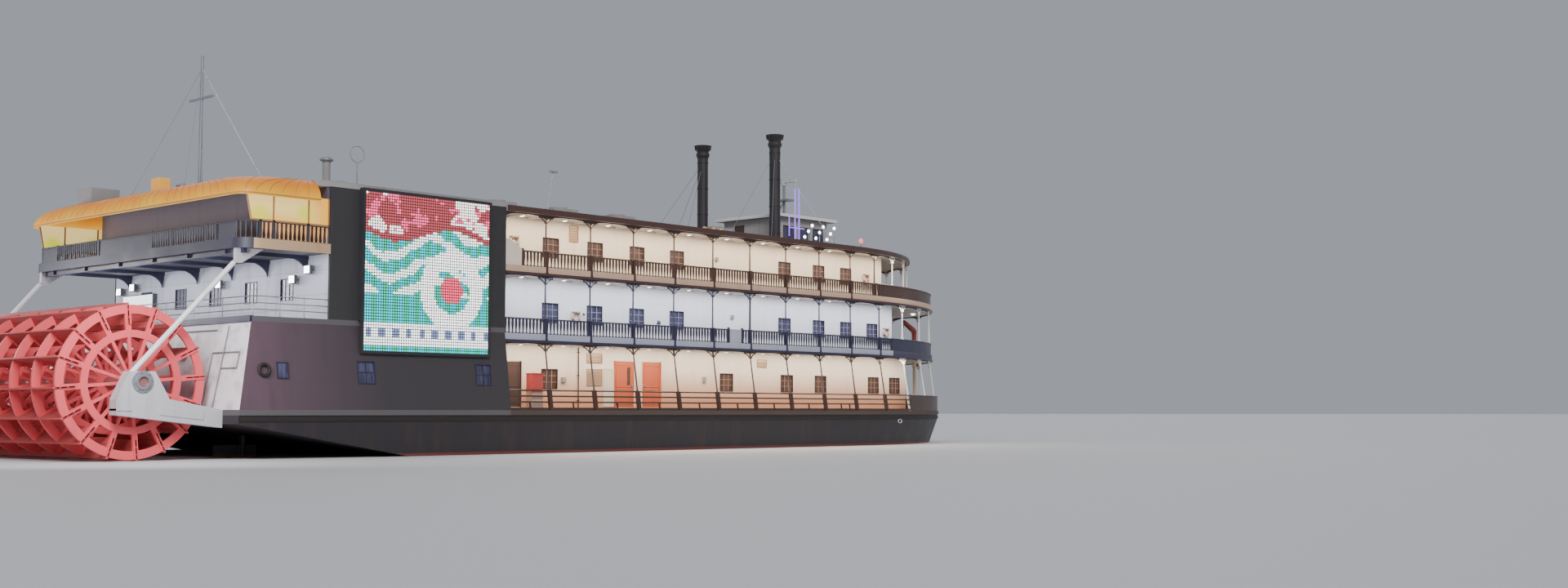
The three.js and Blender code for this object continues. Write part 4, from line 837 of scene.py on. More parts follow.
led = Finish("light_dots", (0.02, 0.02, 0.02), roughness=0.4, slot="screen")
station, _, height = led.axes()
DOTS = round(screen_w / DOT)
dots_along = (station - PANEL_AFT - RIM) / screen_w * DOTS
dots_up = (height - PANEL_LOW - RIM) / screen_h * DOTS
u, v = dots_along.math("FLOOR") / DOTS, dots_up.math("FLOOR") / DOTS
off_u, off_v = dots_along.math("FRACT") - 0.5, dots_up.math("FRACT") - 0.5
dot = (off_u * off_u + off_v * off_v) < 0.2
cell = led.node("ShaderNodeCombineXYZ", [u, v, 0.0])
grain = led.node("ShaderNodeTexNoise", {"Vector": cell, "Scale": 9.0, "Detail": 4.0}, out="Fac")
patches = led.node("ShaderNodeTexVoronoi", {"Vector": cell, "Scale": 5.5}, out="Distance")


def wavy(value, rate):
    """sin(value x rate)."""
    return (value * rate).math("SINE")


waves = (v * 46.0 + wavy(u, 9.0) * 3.2 + grain * 5.0).math("SINE") > 0.1
ring_r = ((u - 0.68) * (u - 0.68) + (v - 0.4) * (v - 0.4)).math("SQRT")
top_band = v + wavy(u, 7.0) * 0.05
image = led.mix(wavy(u, 75.0) * 0.5 + 0.5, (0.0, 0.36, 0.17), (0.0, 0.42, 0.55))
for share, color in ((waves * (v > 0.36), (0.85, 0.95, 0.9)),
                     ((ring_r < 0.26) * (ring_r > 0.15), (1, 1, 1)),
                     (ring_r < 0.09, (0.75, 0.06, 0.12)),
                     (top_band > 0.74, (0.3, 0.04, 0.05)),
                     ((top_band > 0.78) * (patches < 0.46), (0.95, 0.9, 0.86)),
                     ((top_band > 0.8) * (grain > 0.56), (0.8, 0.08, 0.2)),
                     ((v < 0.17) * (v > 0.035), (0.9, 0.93, 0.95)),
                     ((abs(v - 0.11) < 0.025) * (wavy(u, 60.0) > 0.2), (0.12, 0.16, 0.3))):
    image = led.mix(share, image, color)
led.set("Base Color", led.mix(dot, (0.01, 0.01, 0.012), led.mix(0.7, image, (0.03, 0.03, 0.03))))
led.glow(led.mix(dot, (0.0, 0.0, 0.0), image), 2.6)
gap = 0.006
cabinets = blocks([[aft + gap, aft + screen_w / CABINETS - gap, 0.012 - PANEL_OUT, 0.06 - PANEL_OUT,
                    low + gap, low + screen_h / CABINETS - gap]
                   for aft in PANEL_AFT + RIM + np.arange(CABINETS) * screen_w / CABINETS
                   for low in PANEL_LOW + RIM + np.arange(CABINETS) * screen_h / CABINETS])
piece("screen_cabinets", both(cabinets), led, bevel=0.004)

# Galleries
# Along either side of the upper decks: turned iron balusters between two rails, and on each bay's
# post a square plinth, a thin cast shaft with a collar, and curled arms under a scalloped valance,
# with a pale gate that closes the gangway on the second deck. The white iron is drawn dark in painted
# shade, brown on the third deck and navy on the second, and the second deck's thin valance stands
# for the wavy shadow lines under the ceiling's edge.
RAIL_TOP, RAIL_LOW = 0.89, 0.2
BALUSTER_PITCH = 0.203
GATE_AFT, GATE_FORE = 14.65, 15.55
vase = np.array([[0.044, 0], [0.044, 0.05], [0.025, 0.09], [0.029, 0.22], [0.05, 0.5], [0.056, 0.7],
                 [0.05, 0.88], [0.058, 0.94], [0.058, 1]])
baluster = turned(vase * [1, RAIL_TOP - 0.06 - RAIL_LOW] + [0, RAIL_LOW], sides=6)
hand_rail = [[-0.06, 0.83], [-0.07, 0.855], [-0.05, RAIL_TOP], [0.05, RAIL_TOP], [0.07, 0.855], [0.06, 0.83]]
low_rail = [[-0.045, 0.15], [-0.045, RAIL_LOW], [0.045, RAIL_LOW], [0.045, 0.15]]


def spaced(path):
    """The balusters' feet, at an even pitch along a path and half a pitch in from its ends."""
    path = np.asarray(path, float)
    run = distances(path)
    count = max(1, round(run[-1] / BALUSTER_PITCH))
    return resampled(path, (np.arange(count) + 0.5) * run[-1] / count, run)


def balustrade(*paths):
    """Balusters and both rails along paths on the deck."""
    return gather(stamped(baluster, np.concatenate([spaced(path) for path in paths])),
                  *[carried(path, profile) for path in paths for profile in (hand_rail, low_rail)])


def gallery_post(height, plinth=0.9, foot=-0.15, width=0.06, outer=0.13):
    """A plinth, a turned shaft with a collar, and arms that curl under a ceiling at that height.

    An arm follows (0.05 + 0.3 u, -0.32 + 0.22 u^1.2) below the ceiling and ends in a scroll, with a
    second scroll on its inner side, all cast with a rib along the ceiling.
    """
    shaft = turned([[0.065, plinth], [0.045, plinth + 0.06], [0.034, height - 0.46],
                    [0.04, height - 0.4], [0.11, height - 0.365], [0.11, height - 0.335],
                    [0.045, height - 0.3], [0.05, height]], sides=8)
    wide, reach = width + 0.012, outer + 0.015
    base = blocks([[-width, width, -outer, 0.08, foot, plinth - 0.04],
                   [-wide, wide, -reach, 0.095, plinth - 0.04, plinth],
                   [-wide, wide, -reach, 0.095, foot, foot + 0.08]])
    run = np.linspace(0, 1, 6)
    arm = np.stack([0.05 + 0.3 * run, 0 * run, height - 0.32 + 0.22 * run**1.2], -1)
    scrolls = [stamped(hoop(r, 0.026, steps=10, sides=5), [x, 0, height - drop])
               for x, r, drop in ((0.38, 0.05, 0.1), (0.16, 0.04, 0.075))]
    arms = gather(carried(arm, polygon(5) * 0.034, up=(0, 1, 0)), *scrolls,
                  blocks([[0.0, 0.44, -0.03, 0.03, height - 0.035, height]]))
    return gather(base, shaft, arms, mirrored(arms, STATION))


def plate(path, half, low, high):
    """An upright plate along a path, whose foot and top lie low and high above each of its points."""
    low, high, thick = (values[:, None] for values in np.broadcast_arrays(low, high, half))
    corners = np.stack([[-1, 0], [1, 0], [1, 1], [-1, 1]])
    return carried(path, np.stack([thick * corners[:, 0], low + (high - low) * corners[:, 1]], -1))


def valance(plan, bay_steps, top, crown=0.05, spring=0.12):
    """A thin plate under a ceiling whose foot is crown + (spring - crown) |2t - 1|^3 below it over a bay."""
    t = (np.arange(len(plan)) % bay_steps) / bay_steps
    drop = crown + (spring - crown) * np.abs(2 * t - 1) ** 3
    return plate(level(plan, top), 0.02, -drop, 0 * drop)


BAY_STEPS = 16
side_run = np.concatenate([np.linspace(a, b, BAY_STEPS, endpoint=False) for a, b in zip(bays[:-1], bays[1:])])
side_plan = [[s, -RAIL_PLANE] for s in (*side_run, bays[-1])]
PANEL_END = 0.93


def side_path(aft, fore, floor):
    """The starboard rail's straight line on a deck, from one station to another."""
    return [[aft, -RAIL_PLANE, floor], [fore, -RAIL_PLANE, floor]]


def side_bars(stations, half, low, high):
    """Square uprights on the rail's line."""
    return blocks([[s - half, s + half, -RAIL_PLANE - half, -RAIL_PLANE + half, low, high] for s in stations])


gate_posts = [GATE_AFT - 0.06, GATE_FORE + 0.06]
gate_runs = [(HOUSE_AFT, gate_posts[0]), (gate_posts[1], BOW_START)]
# Painted shade: on the second deck the thin dark valance stands for the wavy shadow lines under the ceiling's
# edge.
for deck, runs, newels, spring in (
        ("second", gate_runs, gate_posts, 0.12),
        ("third", [(PANEL_END, BOW_START)], [PANEL_END], 0.22)):
    floor, top = FLOORS[deck], CEILINGS[deck]
    piece(f"{deck}_gallery_ironwork", both(
        balustrade(*[side_path(aft, fore, floor) for aft, fore in runs]),
        stamped(gallery_post(top - floor), [[s, -RAIL_PLANE, floor] for s in POSTS]),
        side_bars(newels, 0.05, floor, floor + 0.97), valance(side_plan, BAY_STEPS, top, spring=spring)),
        TRIMS[deck], replaces=[f"{deck}_gallery_starboard", f"{deck}_gallery_port"])
curve_run = np.linspace(0, 1, 9)
panel_plan = [[HOUSE_AFT + (PANEL_END - HOUSE_AFT) * run, -RAIL_PLANE] for run in curve_run]
end_panel = plate(level(panel_plan, THIRD_FLOOR), 0.03, 0 * curve_run, 1.35 - 0.45 * curve_run**1.6)
piece("gallery_end_panels", both(end_panel), WALLS["third"])
gate_paint = painted("gate_paint", (0.45, 0.47, 0.56), (0.25, 0.22, 0.25))
dress(gate_paint, "gallery_gate_starboard", "gallery_gate_port")
gate_y = span("gallery_gate_starboard", ACROSS)[0]
gate_low, gate_top = SECOND_FLOOR + 0.18, SECOND_FLOOR + RAIL_TOP - 0.1
battens = [[GATE_AFT + 0.03, GATE_FORE - 0.03, z, z + 0.06] for z in (gate_low - 0.06, gate_top)]
battens += [[s, s + 0.06, gate_low, gate_top]
            for s in (GATE_AFT + 0.03, (GATE_AFT + GATE_FORE) / 2 - 0.03, GATE_FORE - 0.09)]
gate_trim = blocks([[aft, fore, gate_y - 0.012, gate_y + 0.005, low, high]
                    for aft, fore, low, high in battens])
piece("gate_battens_starboard", gate_trim, gate_paint, "starboard_gate", bevel=0.006)
piece("gate_battens_port", mirrored(gate_trim), gate_paint, "port_gate", bevel=0.006)

# Bow galleries
# Round the bow the iron balusters give way to plain dark parapets of steel plate under a cap rail,
# between white cast posts, of which the first on either side is thicker and drawn dark in painted
# shade, like the gallery iron.
BOW_STEPS, FINE = 28, 6
parapet_plate = np.array([[-0.04, -0.1], [0.04, -0.1], [0.04, 0.86], [-0.04, 0.86]])
cap_rail = np.array([[-0.07, 0.84], [-0.08, 0.87], [-0.05, 0.9], [0.05, 0.9], [0.08, 0.87], [0.07, 0.84]])


def bow_turns(plan):
    """Turns that lay a part's x along a plan's way round the bow, with its -y side outwards."""
    way = np.roll(plan, -1, 0) - np.roll(plan, 1, 0)
    return np.arctan2(-way[:, 1], -way[:, 0])


white_iron = painted("white_iron", (0.82, 0.79, 0.76), (0.5, 0.42, 0.35), 0.3, 0.4)
upper_fine = bow_curve(RAIL_PLANE, UPPER_TIP - 0.1, BOW_STEPS * FINE)
white_steps, end_steps = np.arange(4, BOW_STEPS - 3, 2), [2, BOW_STEPS - 2]
for deck, tip, open_steps in (("second", UPPER_TIP, 3), ("third", ROOF_TIP, 2)):
    floor, top = FLOORS[deck], CEILINGS[deck]
    fine = level(upper_fine, floor)
    cut = open_steps * FINE
    closed_run = fine[cut:len(fine) - cut]
    plan = bow_curve(RAIL_PLANE, tip - 0.1, BOW_STEPS)
    turns = bow_turns(plan)
    piece(f"{deck}_bow_ironwork", gather(
        balustrade(fine[:cut + 1], fine[-cut - 1:]),
        carried(closed_run, parapet_plate), carried(closed_run, cap_rail),
        valance(bow_curve(RAIL_PLANE, tip - 0.1, BOW_STEPS * FINE), 2 * FINE, top, crown=0.07, spring=0.22),
        stamped(gallery_post(top - floor, width=0.08), level(plan[end_steps], floor), turns[end_steps])),
        TRIMS[deck], replaces=[f"{deck}_gallery_bow"])
    white_post = gallery_post(top - floor, plinth=0.97, foot=0.87, outer=0.06)
    white_posts = stamped(white_post, level(plan[white_steps], floor), turns[white_steps])
    piece(f"{deck}_bow_posts", white_posts, white_iron)
DAVIT_STATION, DAVIT_Y = 36.4, -4.65
column = [[0.17, 0], [0.17, 0.06], [0.11, 0.1], [0.105, 2.7], [0.15, 2.74], [0.15, 2.8],
          [0.11, 2.84], [0.11, 2.95], [0.16, 3.0], [0.16, CEILINGS["main"] - MAIN_FLOOR]]
piece("bow_columns", turned(column, [[DAVIT_STATION, y, MAIN_FLOOR] for y in (DAVIT_Y, -DAVIT_Y)], 16),
      painted("cream_column", (0.8, 0.68, 0.5), (0.5, 0.38, 0.25), 0.3))
BOW_LAMPS = {"second": [(36.9, -4.2), (34.5, 0)], "main": [(33, -6), (35.5, 0), (33, 6)],
             "third": [(32.5, -4), (32.5, 4)]}
bow_lamps = [[*place, CEILINGS[deck]] for deck, places in BOW_LAMPS.items() for place in places]
piece("bow_ceiling_lamps", turned(bowl, bow_lamps), lamp_glass)

# Main deck rails
# Three dark pipes and a toe plate run from the house to the bow between posts that lean out to the
# deck's edge, thick below the top pipe, then thin, and a plain bulwark closes the bow. The posts are
# white iron, drawn dark brown in painted shade along the sides and at the bulwark's ends.
MAIN_CEILING = CEILINGS["main"]
FLARE = MAIN_SIDE - SIDE
PIPES = [0.37, 0.64, 0.9]
pipe = polygon(8) * 0.038
toe = [[-0.03, 0.01], [0.03, 0.01], [0.03, 0.12], [-0.03, 0.12]]


def lean_out(part, shift):
    """Moves each point outwards by the shift x its share of the way down from the ceiling."""
    points, groups = part
    share = (MAIN_CEILING - points[:, UP:]) / (MAIN_CEILING - MAIN_FLOOR)
    return points + share * np.append(shift, 0), groups


def post_to_floor(outer):
    """A main deck post that stands on the deck, with a plinth out to that distance."""
    return gallery_post(MAIN_CEILING - MAIN_FLOOR, plinth=0.93, foot=0.0, width=0.085, outer=outer)


def piped(run):
    """The three pipes and the toe plate along a plan of the main deck's edge."""
    return [*[carried(level(run, MAIN_FLOOR + z), pipe) for z in PIPES], carried(level(run, MAIN_FLOOR), toe)]


side_rails = gather(
    stamped(post_to_floor(0.085), [[s, -RAIL_PLANE, MAIN_FLOOR] for s in POSTS]),
    *piped([[HOUSE_AFT, -RAIL_PLANE], [BOW_START, -RAIL_PLANE]]),
    side_bars((*mid_bays, 23.9), 0.03, MAIN_FLOOR, MAIN_FLOOR + PIPES[0]))
piece("main_rail_ironwork", both(
    lean_out(side_rails, [0, -FLARE]), valance(side_plan, BAY_STEPS, MAIN_CEILING)),
    main_trim, replaces=["main_rail_starboard", "main_rail_port"])
feet_plan = bow_curve(MAIN_SIDE - 0.1, BOW_TIP - 0.1, BOW_STEPS)
heads_plan = bow_curve(RAIL_PLANE, UPPER_TIP - 0.1, BOW_STEPS)
head_turns = bow_turns(heads_plan)


def leaning_posts(part, steps):
    """Posts round the bow, each leaning from its head over to its own foot."""
    return gather(*[lean_out(stamped(part, [*heads_plan[k], MAIN_FLOOR], head_turns[k]),
                             feet_plan[k] - heads_plan[k]) for k in steps])


rail_fine = bow_curve(MAIN_SIDE - 0.1, BOW_TIP - 0.1, BOW_STEPS * FINE)
PIPED = 4 * FINE
closed_run = level(rail_fine[PIPED:len(rail_fine) - PIPED], MAIN_FLOOR)
piece("main_bow_ironwork", gather(
    *piped(rail_fine[:PIPED + 1]), *piped(rail_fine[-PIPED - 1:]),
    carried(closed_run, parapet_plate + [0, 0.03]), carried(closed_run, cap_rail + [0, 0.03]),
    leaning_posts(post_to_floor(0.085), end_steps),
    valance(upper_fine, 2 * FINE, MAIN_CEILING, crown=0.06, spring=0.2)),
    main_trim, replaces=["main_rail_bow"])
piece("main_bow_posts", leaning_posts(post_to_floor(0.02), white_steps), white_iron)

# Stern balcony
# The rail round the third deck's stern: turned balusters between square posts, and plain sheet
# panels at its aft corners and middle. Rigid amber-lit plastic panels in thin frames stand on it.
BALCONY_AFT = -13.15
BALCONY_R = 0.8


def balcony_path(inset, radius, fore, steps=12):
    """The way round the balcony from starboard to port: straight sides and round aft corners."""
    share = np.linspace(0, np.pi / 2, steps)
    corner = np.stack([BALCONY_AFT + inset + radius * (1 - np.sin(share)),
                       -(SIDE - inset - radius * (1 - np.cos(share)))], -1)
    half = np.array([[fore, -(SIDE - inset)], *corner])
    return np.concatenate([half, half[::-1] * [1, -1]])


RAIL_IN = 0.12
aft_x = BALCONY_AFT + RAIL_IN
balcony_rail = level(balcony_path(RAIL_IN, BALCONY_R - RAIL_IN, SCREEN_AFT), THIRD_STERN)
# Painted shade and light: the balcony's white iron is drawn dark grey blue against the lit hood, and its side
# balusters orange where the warm lamps under the hood fall on them.
grey_iron = painted("stern_rail_iron", (0.042, 0.04, 0.056), (0.025, 0.024, 0.03), 0.4, slot="trim_brown")
post_places = [(aft_x, y) for y in (-7.05, -6.3, -3.45, -1.8, 3.0, 6.3, 7.05)]
post_places += [(s, side * (SIDE - RAIL_IN)) for s in (-12.35, -11.75, -10.2) for side in (-1, 1)]
post_low, post_high = THIRD_STERN - 0.1, THIRD_STERN + RAIL_TOP + 0.03
square_posts = blocks([[s - 0.06, s + 0.06, y - 0.06, y + 0.06, post_low, post_high] for s, y in post_places])
sheet_panels = blocks([[aft_x - 0.02, aft_x + 0.02, y0, y1, THIRD_STERN + 0.16, THIRD_STERN + 0.85]
                       for y0, y1 in ((-8.5, -7.05), (-1.8, 3.0), (7.05, 8.5))])
baluster_runs = [balcony_rail[1:13], balcony_rail[-13:-1]]
baluster_runs += [level([[aft_x, y0], [aft_x, y1]], THIRD_STERN) for y0, y1 in ((-7.05, -1.8), (3.0, 7.05))]
piece("balcony_ironwork", gather(
    stamped(baluster, np.concatenate([spaced(run) for run in baluster_runs])),
    carried(balcony_rail, hand_rail), carried(balcony_rail, low_rail), square_posts, sheet_panels),
    grey_iron, replaces=["balcony_rail"])
lit_iron = painted("lit_balusters", (0.7, 0.36, 0.14), (0.4, 0.2, 0.08), slot="trim_brown")
side_balusters = both(stamped(baluster, spaced(balcony_rail[:2])))
piece("balcony_side_balusters", side_balusters, lit_iron, replaces=["balcony_rail"])
fascia_path = level(balcony_path(0.0, BALCONY_R, SCREEN_AFT), THIRD_STERN)
fascia = [[-0.012, -0.235], [0.04, -0.235], [0.04, 0.17], [-0.012, 0.17]]
# Painted light and shade: the fascia is amber where the lit hood shines on it, and its aft run is drawn dark
# blue in painted shade.
amber_fascia = painted("balcony_fascia", (0.5, 0.33, 0.2), (0.25, 0.14, 0.08), 0.4)
amber_fascia.cover(amber_fascia.axes()[STATION] < BALCONY_AFT + 0.5, (0.035, 0.035, 0.055))
piece("balcony_fascia", carried(fascia_path, fascia), amber_fascia)
lit_plastic = Finish("lit_panel", (0.5, 0.32, 0.06), roughness=0.5, slot="amber_canopy")
along, _, up = lit_plastic.axes()


def glow_oval(station, height, wide, tall):
    """1 at the middle of an oval, down to 0 at its edge."""
    off_s, off_h = (along - station) / wide, (up - height) / tall
    return 1 - (off_s * off_s + off_h * off_h).clip()


warmth = along.fade(-10.4, -9.5).math("MAXIMUM", 1 - up.fade(11.0, 11.5))
panel_light = lit_plastic.mix(warmth, (1.0, 0.8, 0.32), (1.0, 0.42, 0.02))
# Painted light: brighter ovals on the panels where the lamps behind them shine through.
lamp_glow_ovals = glow_oval(-12.35, 11.35, 0.55, 0.45).math("MAXIMUM", glow_oval(-10.35, 11.5, 0.5, 0.4))
lit_plastic.glow(lit_plastic.mix(lamp_glow_ovals, panel_light, (0.62, 0.8, 0.03)), 0.9)
LIT_Y = -SIDE + 0.1
LIT_TOP, LIT_LOW = CANOPY_LOW + 0.12, THIRD_STERN + RAIL_TOP + 0.01
LIT_FORE, STILE = -9.22, 0.03
SLANT_LOW, SLANT_TOP = -12.75, -12.98
panel_outline = [[SLANT_LOW, LIT_LOW], [LIT_FORE, LIT_LOW], [LIT_FORE, LIT_TOP], [SLANT_TOP, LIT_TOP]]
piece("lit_panels", both(extruded(panel_outline, LIT_Y - 0.01, LIT_Y + 0.01)), lit_plastic)
frame_y = [LIT_Y - 0.04, LIT_Y + 0.04]
panel_frames = [[s - STILE, s + STILE, *frame_y, LIT_LOW, LIT_TOP] for s in (-11.78, -10.19, -9.25)]
panel_frames += [[SLANT_LOW, LIT_FORE, *frame_y, LIT_LOW - 0.03, LIT_LOW + 0.04]]
slant_bar = bars([SLANT_LOW, LIT_Y, LIT_LOW], [SLANT_TOP, LIT_Y, LIT_TOP], 0.035)
piece("panel_frames", both(blocks(panel_frames), slant_bar),
      painted("amber_frame", (0.35, 0.17, 0.06), (0.2, 0.08, 0.03), 0.3, slot="trim_brown"))

# Canopy
# A quarter-round hood of translucent amber plastic that falls from the roof's edge round the whole
# stern, riveted over thin ribs and lit from behind, brightest along its foot.
CANOPY_FORE, CANOPY_T, TURN_STEPS = -9.8, 0.05, 11
INNER_SHRINK = 0.004
hood_top, hood_foot = balcony_path(0.75, 2.2, CANOPY_FORE, 15), balcony_path(-0.2, 0.6, CANOPY_FORE, 15)
cuts = np.maximum(1, np.ceil(np.diff(distances(hood_foot)) / 0.6)).astype(int)
marks = np.concatenate([k + np.arange(n) / n for k, n in enumerate(cuts)] + [[len(cuts)]])
canopy_in, canopy_out = (resampled(plan, marks, np.arange(len(plan))) for plan in (hood_top, hood_foot))


def hood(turn):
    """inner + (outer - inner) sin a across, and roof - drop (1 - cos a) down, one row for each place."""
    plan = canopy_in[:, None] + (canopy_out - canopy_in)[:, None] * np.sin(turn)[:, None]
    height = ROOF_STERN - (ROOF_STERN - CANOPY_LOW) * (1 - np.cos(turn))
    return np.insert(plan, 2, height, axis=2)


rows_out = hood(np.linspace(0, np.pi / 2, TURN_STEPS))
rows_in = rows_out[:, ::-1] - [0, 0, CANOPY_T]
rows_in[..., :2] += (rows_out.mean((0, 1))[:2] - rows_in[..., :2]) * INNER_SHRINK
awning = Finish("amber_hood", (0.3, 0.09, 0.005), roughness=0.45, slot="amber_canopy")
fall = awning.axes()[UP].fade(CANOPY_LOW, ROOF_STERN)
cloud = awning.noise(1.1)
hue = awning.mix((fall * 1.3 + (cloud - 0.5) * 0.5).clip(), (1.0, 0.56, 0.03), (0.66, 0.18, 0.0))
hue = awning.mix(awning.noise(0.3).fade(0.52, 0.66) * (1 - fall) * 0.6, hue, (0.75, 0.72, 0.05))
awning.cover(cloud, (0.22, 0.06, 0.003))
awning.glow(hue, 0.85)
hood_skin = lofted(np.concatenate([rows_out, rows_in], 1))
piece("canopy_hood", hood_skin, awning, replaces=["stern_canopy"])
run_out = distances(canopy_out)
rib_lines = rows_out[np.unique(np.searchsorted(run_out, np.arange(0.05, run_out[-1], 0.65)))]
piece("canopy_ribs", gather(*[carried(line[:-1], polygon(6) * 0.016, up=(0.3, 0.2, 1)) for line in rib_lines],
                            carried(level(canopy_out, CANOPY_LOW + 0.02), polygon(6) * 0.03)),
      painted("canopy_rib_paint", (0.5, 0.22, 0.05), (0.3, 0.12, 0.03), 0.3, slot="amber_canopy"))

# Stern platform rail
# Galvanised pipes in three rows round the second deck's open stern, welded to round stanchions
# whose feet are bolted to the deck.
PLATFORM_AFT = span("platform_rail", STATION)[0] + 0.04
PLATFORM_HALF = span("platform_rail", ACROSS)[1] - 0.04
corners = [[SCREEN_AFT, -PLATFORM_HALF], [PLATFORM_AFT, -PLATFORM_HALF]]
rail_plan = corners + [[s, -y] for s, y in corners[::-1]]
galvanised = painted("galvanised", (0.34, 0.35, 0.38), (0.2, 0.17, 0.15), 0.5, 0.4, metallic=0.6,
                     slot="steel")
stanchions = [[PLATFORM_AFT, y] for y in np.linspace(-PLATFORM_HALF, PLATFORM_HALF, 9)]
stanchions += [[s, side * PLATFORM_HALF] for s in (-11.4, -10.3) for side in (-1, 1)]
stanchion = [[0.07, 0], [0.07, 0.02], [0.028, 0.03], [0.026, 0.83], [0.01, 0.85]]
piece("platform_pipes", gather(
    *[carried(level(rail_plan, SECOND_STERN + z), polygon(8) * 0.022) for z in (0.27, 0.53, 0.8)],
    turned(stanchion, level(stanchions, SECOND_STERN), 10)), galvanised, replaces=["platform_rail"])

# Paddle wheel
# Nine flat steel frames on one shaft, each with two wide rings on sixteen spokes, carry sixteen
# paddles of three planks that are bolted across them. All is painted coral red, and the planks
# are the most weathered.
WHEEL_STATION, WHEEL_HEIGHT = -16.7, 4.6
WHEEL_HALF = 7.7
SPOKES = 16
WHEEL_TURN = math.radians(5)
wheel_frames_y = np.linspace(-7.6, 7.6, 9)
coral = painted("coral_paint", (0.8, 0.1, 0.115), (0.42, 0.07, 0.07), 0.45, 0.45, slot="coral_paint")


def flat_ring(inner, outer, y0, y1, steps=40):
    """A flat ring about the y axis."""
    return spun([[inner, y0], [outer, y0], [outer, y1], [inner, y1]], steps)


def round_the_wheel(part, count=SPOKES, start=WHEEL_TURN):
    """Copies of a part turned about the wheel's axis: (x cos a - z sin a, y, x sin a + z cos a)."""
    points, groups = part
    angle = start + np.arange(count)[:, None] * 2 * np.pi / count
    cos, sin = np.cos(angle), np.sin(angle)
    x, y, z = points.T[:, None]
    return repeated(np.stack([x * cos - z * sin, y + 0 * angle, x * sin + z * cos], -1), groups)


def at_wheel(*parts):
    """Parts about the origin, moved to the wheel's axis."""
    points, groups = gather(*parts)
    return points + [WHEEL_STATION, 0, WHEEL_HEIGHT], groups


frame_parts = []
for y in wheel_frames_y:
    frame_parts += [flat_ring(2.62, 2.95, y - 0.055, y + 0.055, 96),
                    flat_ring(1.71, 1.99, y - 0.055, y + 0.055, 72),
                    flat_ring(0.21, 0.5, y - 0.09, y + 0.09, 32),
                    round_the_wheel(blocks([[0.45, 1.75, y - 0.045, y + 0.045, -0.06, 0.06],
                                            [1.95, 2.66, y - 0.045, y + 0.045, -0.11, 0.11],
                                            [2.2, 2.94, y - 0.1, y - 0.04, -0.1, 0.03]]))]
piece("wheel_frames", at_wheel(*frame_parts), coral, "wheel", replaces=["paddle_wheel"])
planks = blocks([[r, r + 0.27, -WHEEL_HALF, WHEEL_HALF, -0.035, 0.035] for r in 2.2 + 0.285 * np.arange(3)])
plank_paint = painted("plank_paint", (0.5, 0.08, 0.08), (0.2, 0.06, 0.05), 0.6, 0.6, slot="coral_paint")
piece("wheel_planks", at_wheel(round_the_wheel(planks)), plank_paint, "wheel", bevel=0.012)
bolts = blocks([[r - 0.03, r + 0.03, y - 0.03, y + 0.03, 0.03, 0.06]
                for r in (2.33, 2.62, 2.9) for y in wheel_frames_y])
piece("wheel_bolts", at_wheel(round_the_wheel(bolts)),
      painted("bolt_steel", (0.25, 0.1, 0.09), (0.12, 0.05, 0.04), slot="steel"), "wheel")
dress(painted("shaft_steel", (0.35, 0.16, 0.15), (0.12, 0.08, 0.07), 0.5, 0.4, metallic=0.4), "paddle_shaft")

# Wheel arms and rudders
# Box beams welded to the transom carry the shaft in split bearings, and a pale brace runs from each
# up to a knee under the balcony. The rudders hang under the raked stern.
arm_paint = painted("arm_paint", (0.5, 0.49, 0.52), (0.24, 0.2, 0.2), 0.6)
dress(arm_paint, "wheel_arm_starboard", "wheel_arm_port")
dress(hull_paint, "rudder_starboard", "rudder_port")
ARM_OUT, ARM_IN = -8.5, -7.95
clamp_bolts = round_the_wheel(blocks([[0.33, 0.39, ARM_OUT - 0.07, ARM_OUT - 0.03, -0.03, 0.03]]), 8, 0.2)
housings = [flat_ring(0.2, 0.42, ARM_OUT - 0.04, ARM_OUT + 0.001),
            flat_ring(0.2, 0.3, ARM_OUT - 0.1, ARM_OUT - 0.04),
            flat_ring(0.2, 0.42, ARM_IN - 0.001, ARM_IN + 0.04)]
piece("bearing_housings", both(at_wheel(*housings, clamp_bolts)), galvanised)
web = [[-16.0, 3.75], [-14.2, 3.45], [-14.2, 3.15], [-16.0, 3.35]]
arm_plate = blocks([[-17.7, -17.1, ARM_OUT - 0.03, ARM_IN + 0.03, 3.5, 3.6]])
piece("arm_webs", both(extruded(web, ARM_OUT - 0.03, ARM_OUT + 0.01), arm_plate), arm_paint, bevel=0.01)
brace_foot, brace_head = np.array([[-17.1, (ARM_OUT + ARM_IN) / 2, 4.85], [-13, -8.6, 9.5]])
piece("brace_sleeves", both(bars(brace_foot, brace_foot * 0.03 + brace_head * 0.97, 0.105, 12)),
      painted("brace_paint", (0.75, 0.74, 0.76), (0.4, 0.34, 0.32), 0.4))

# Pilothouse
# A wheelhouse of painted steel plate, welded to the roof, with windows on three sides, a door aft,
# and a flat roof that carries the radar mast.
pilot_paint = painted("pilothouse_paint", (0.4, 0.38, 0.37), (0.2, 0.17, 0.15), 0.4, plates=(1.45, 2.4))
dress(pilot_paint, "pilothouse")
dress(third_trim, "pilothouse_roof")
dress(brown_door, "pilothouse_door")
dress(galvanised, "radar_mast", "stern_mast")
dress(painted("scanner_paint", (0.6, 0.6, 0.6), (0.3, 0.3, 0.3), 0.3), "radar_scanner")
PILOT_AFT, PILOT_FORE = span("pilothouse", STATION)
PILOT_HALF = span("pilothouse", ACROSS)[1]
PILOT_TOP = span("pilothouse_roof", UP)[1]
side_rim, _, side_glass = window(1.0)
front_rim, _, front_glass = window(1.2)
pilot_sides = list(zip(*side_places((27.05, 28.4, 29.75), PILOT_HALF, ROOF_TOP + 1.0)))
pilot_front = [[PILOT_FORE, y, ROOF_TOP + 1.0] for y in (-1.45, 0, 1.45)]
piece("pilothouse_window_frames",
      gather(stamped(side_rim, *pilot_sides), stamped(front_rim, pilot_front, FORWARD)), third_trim)
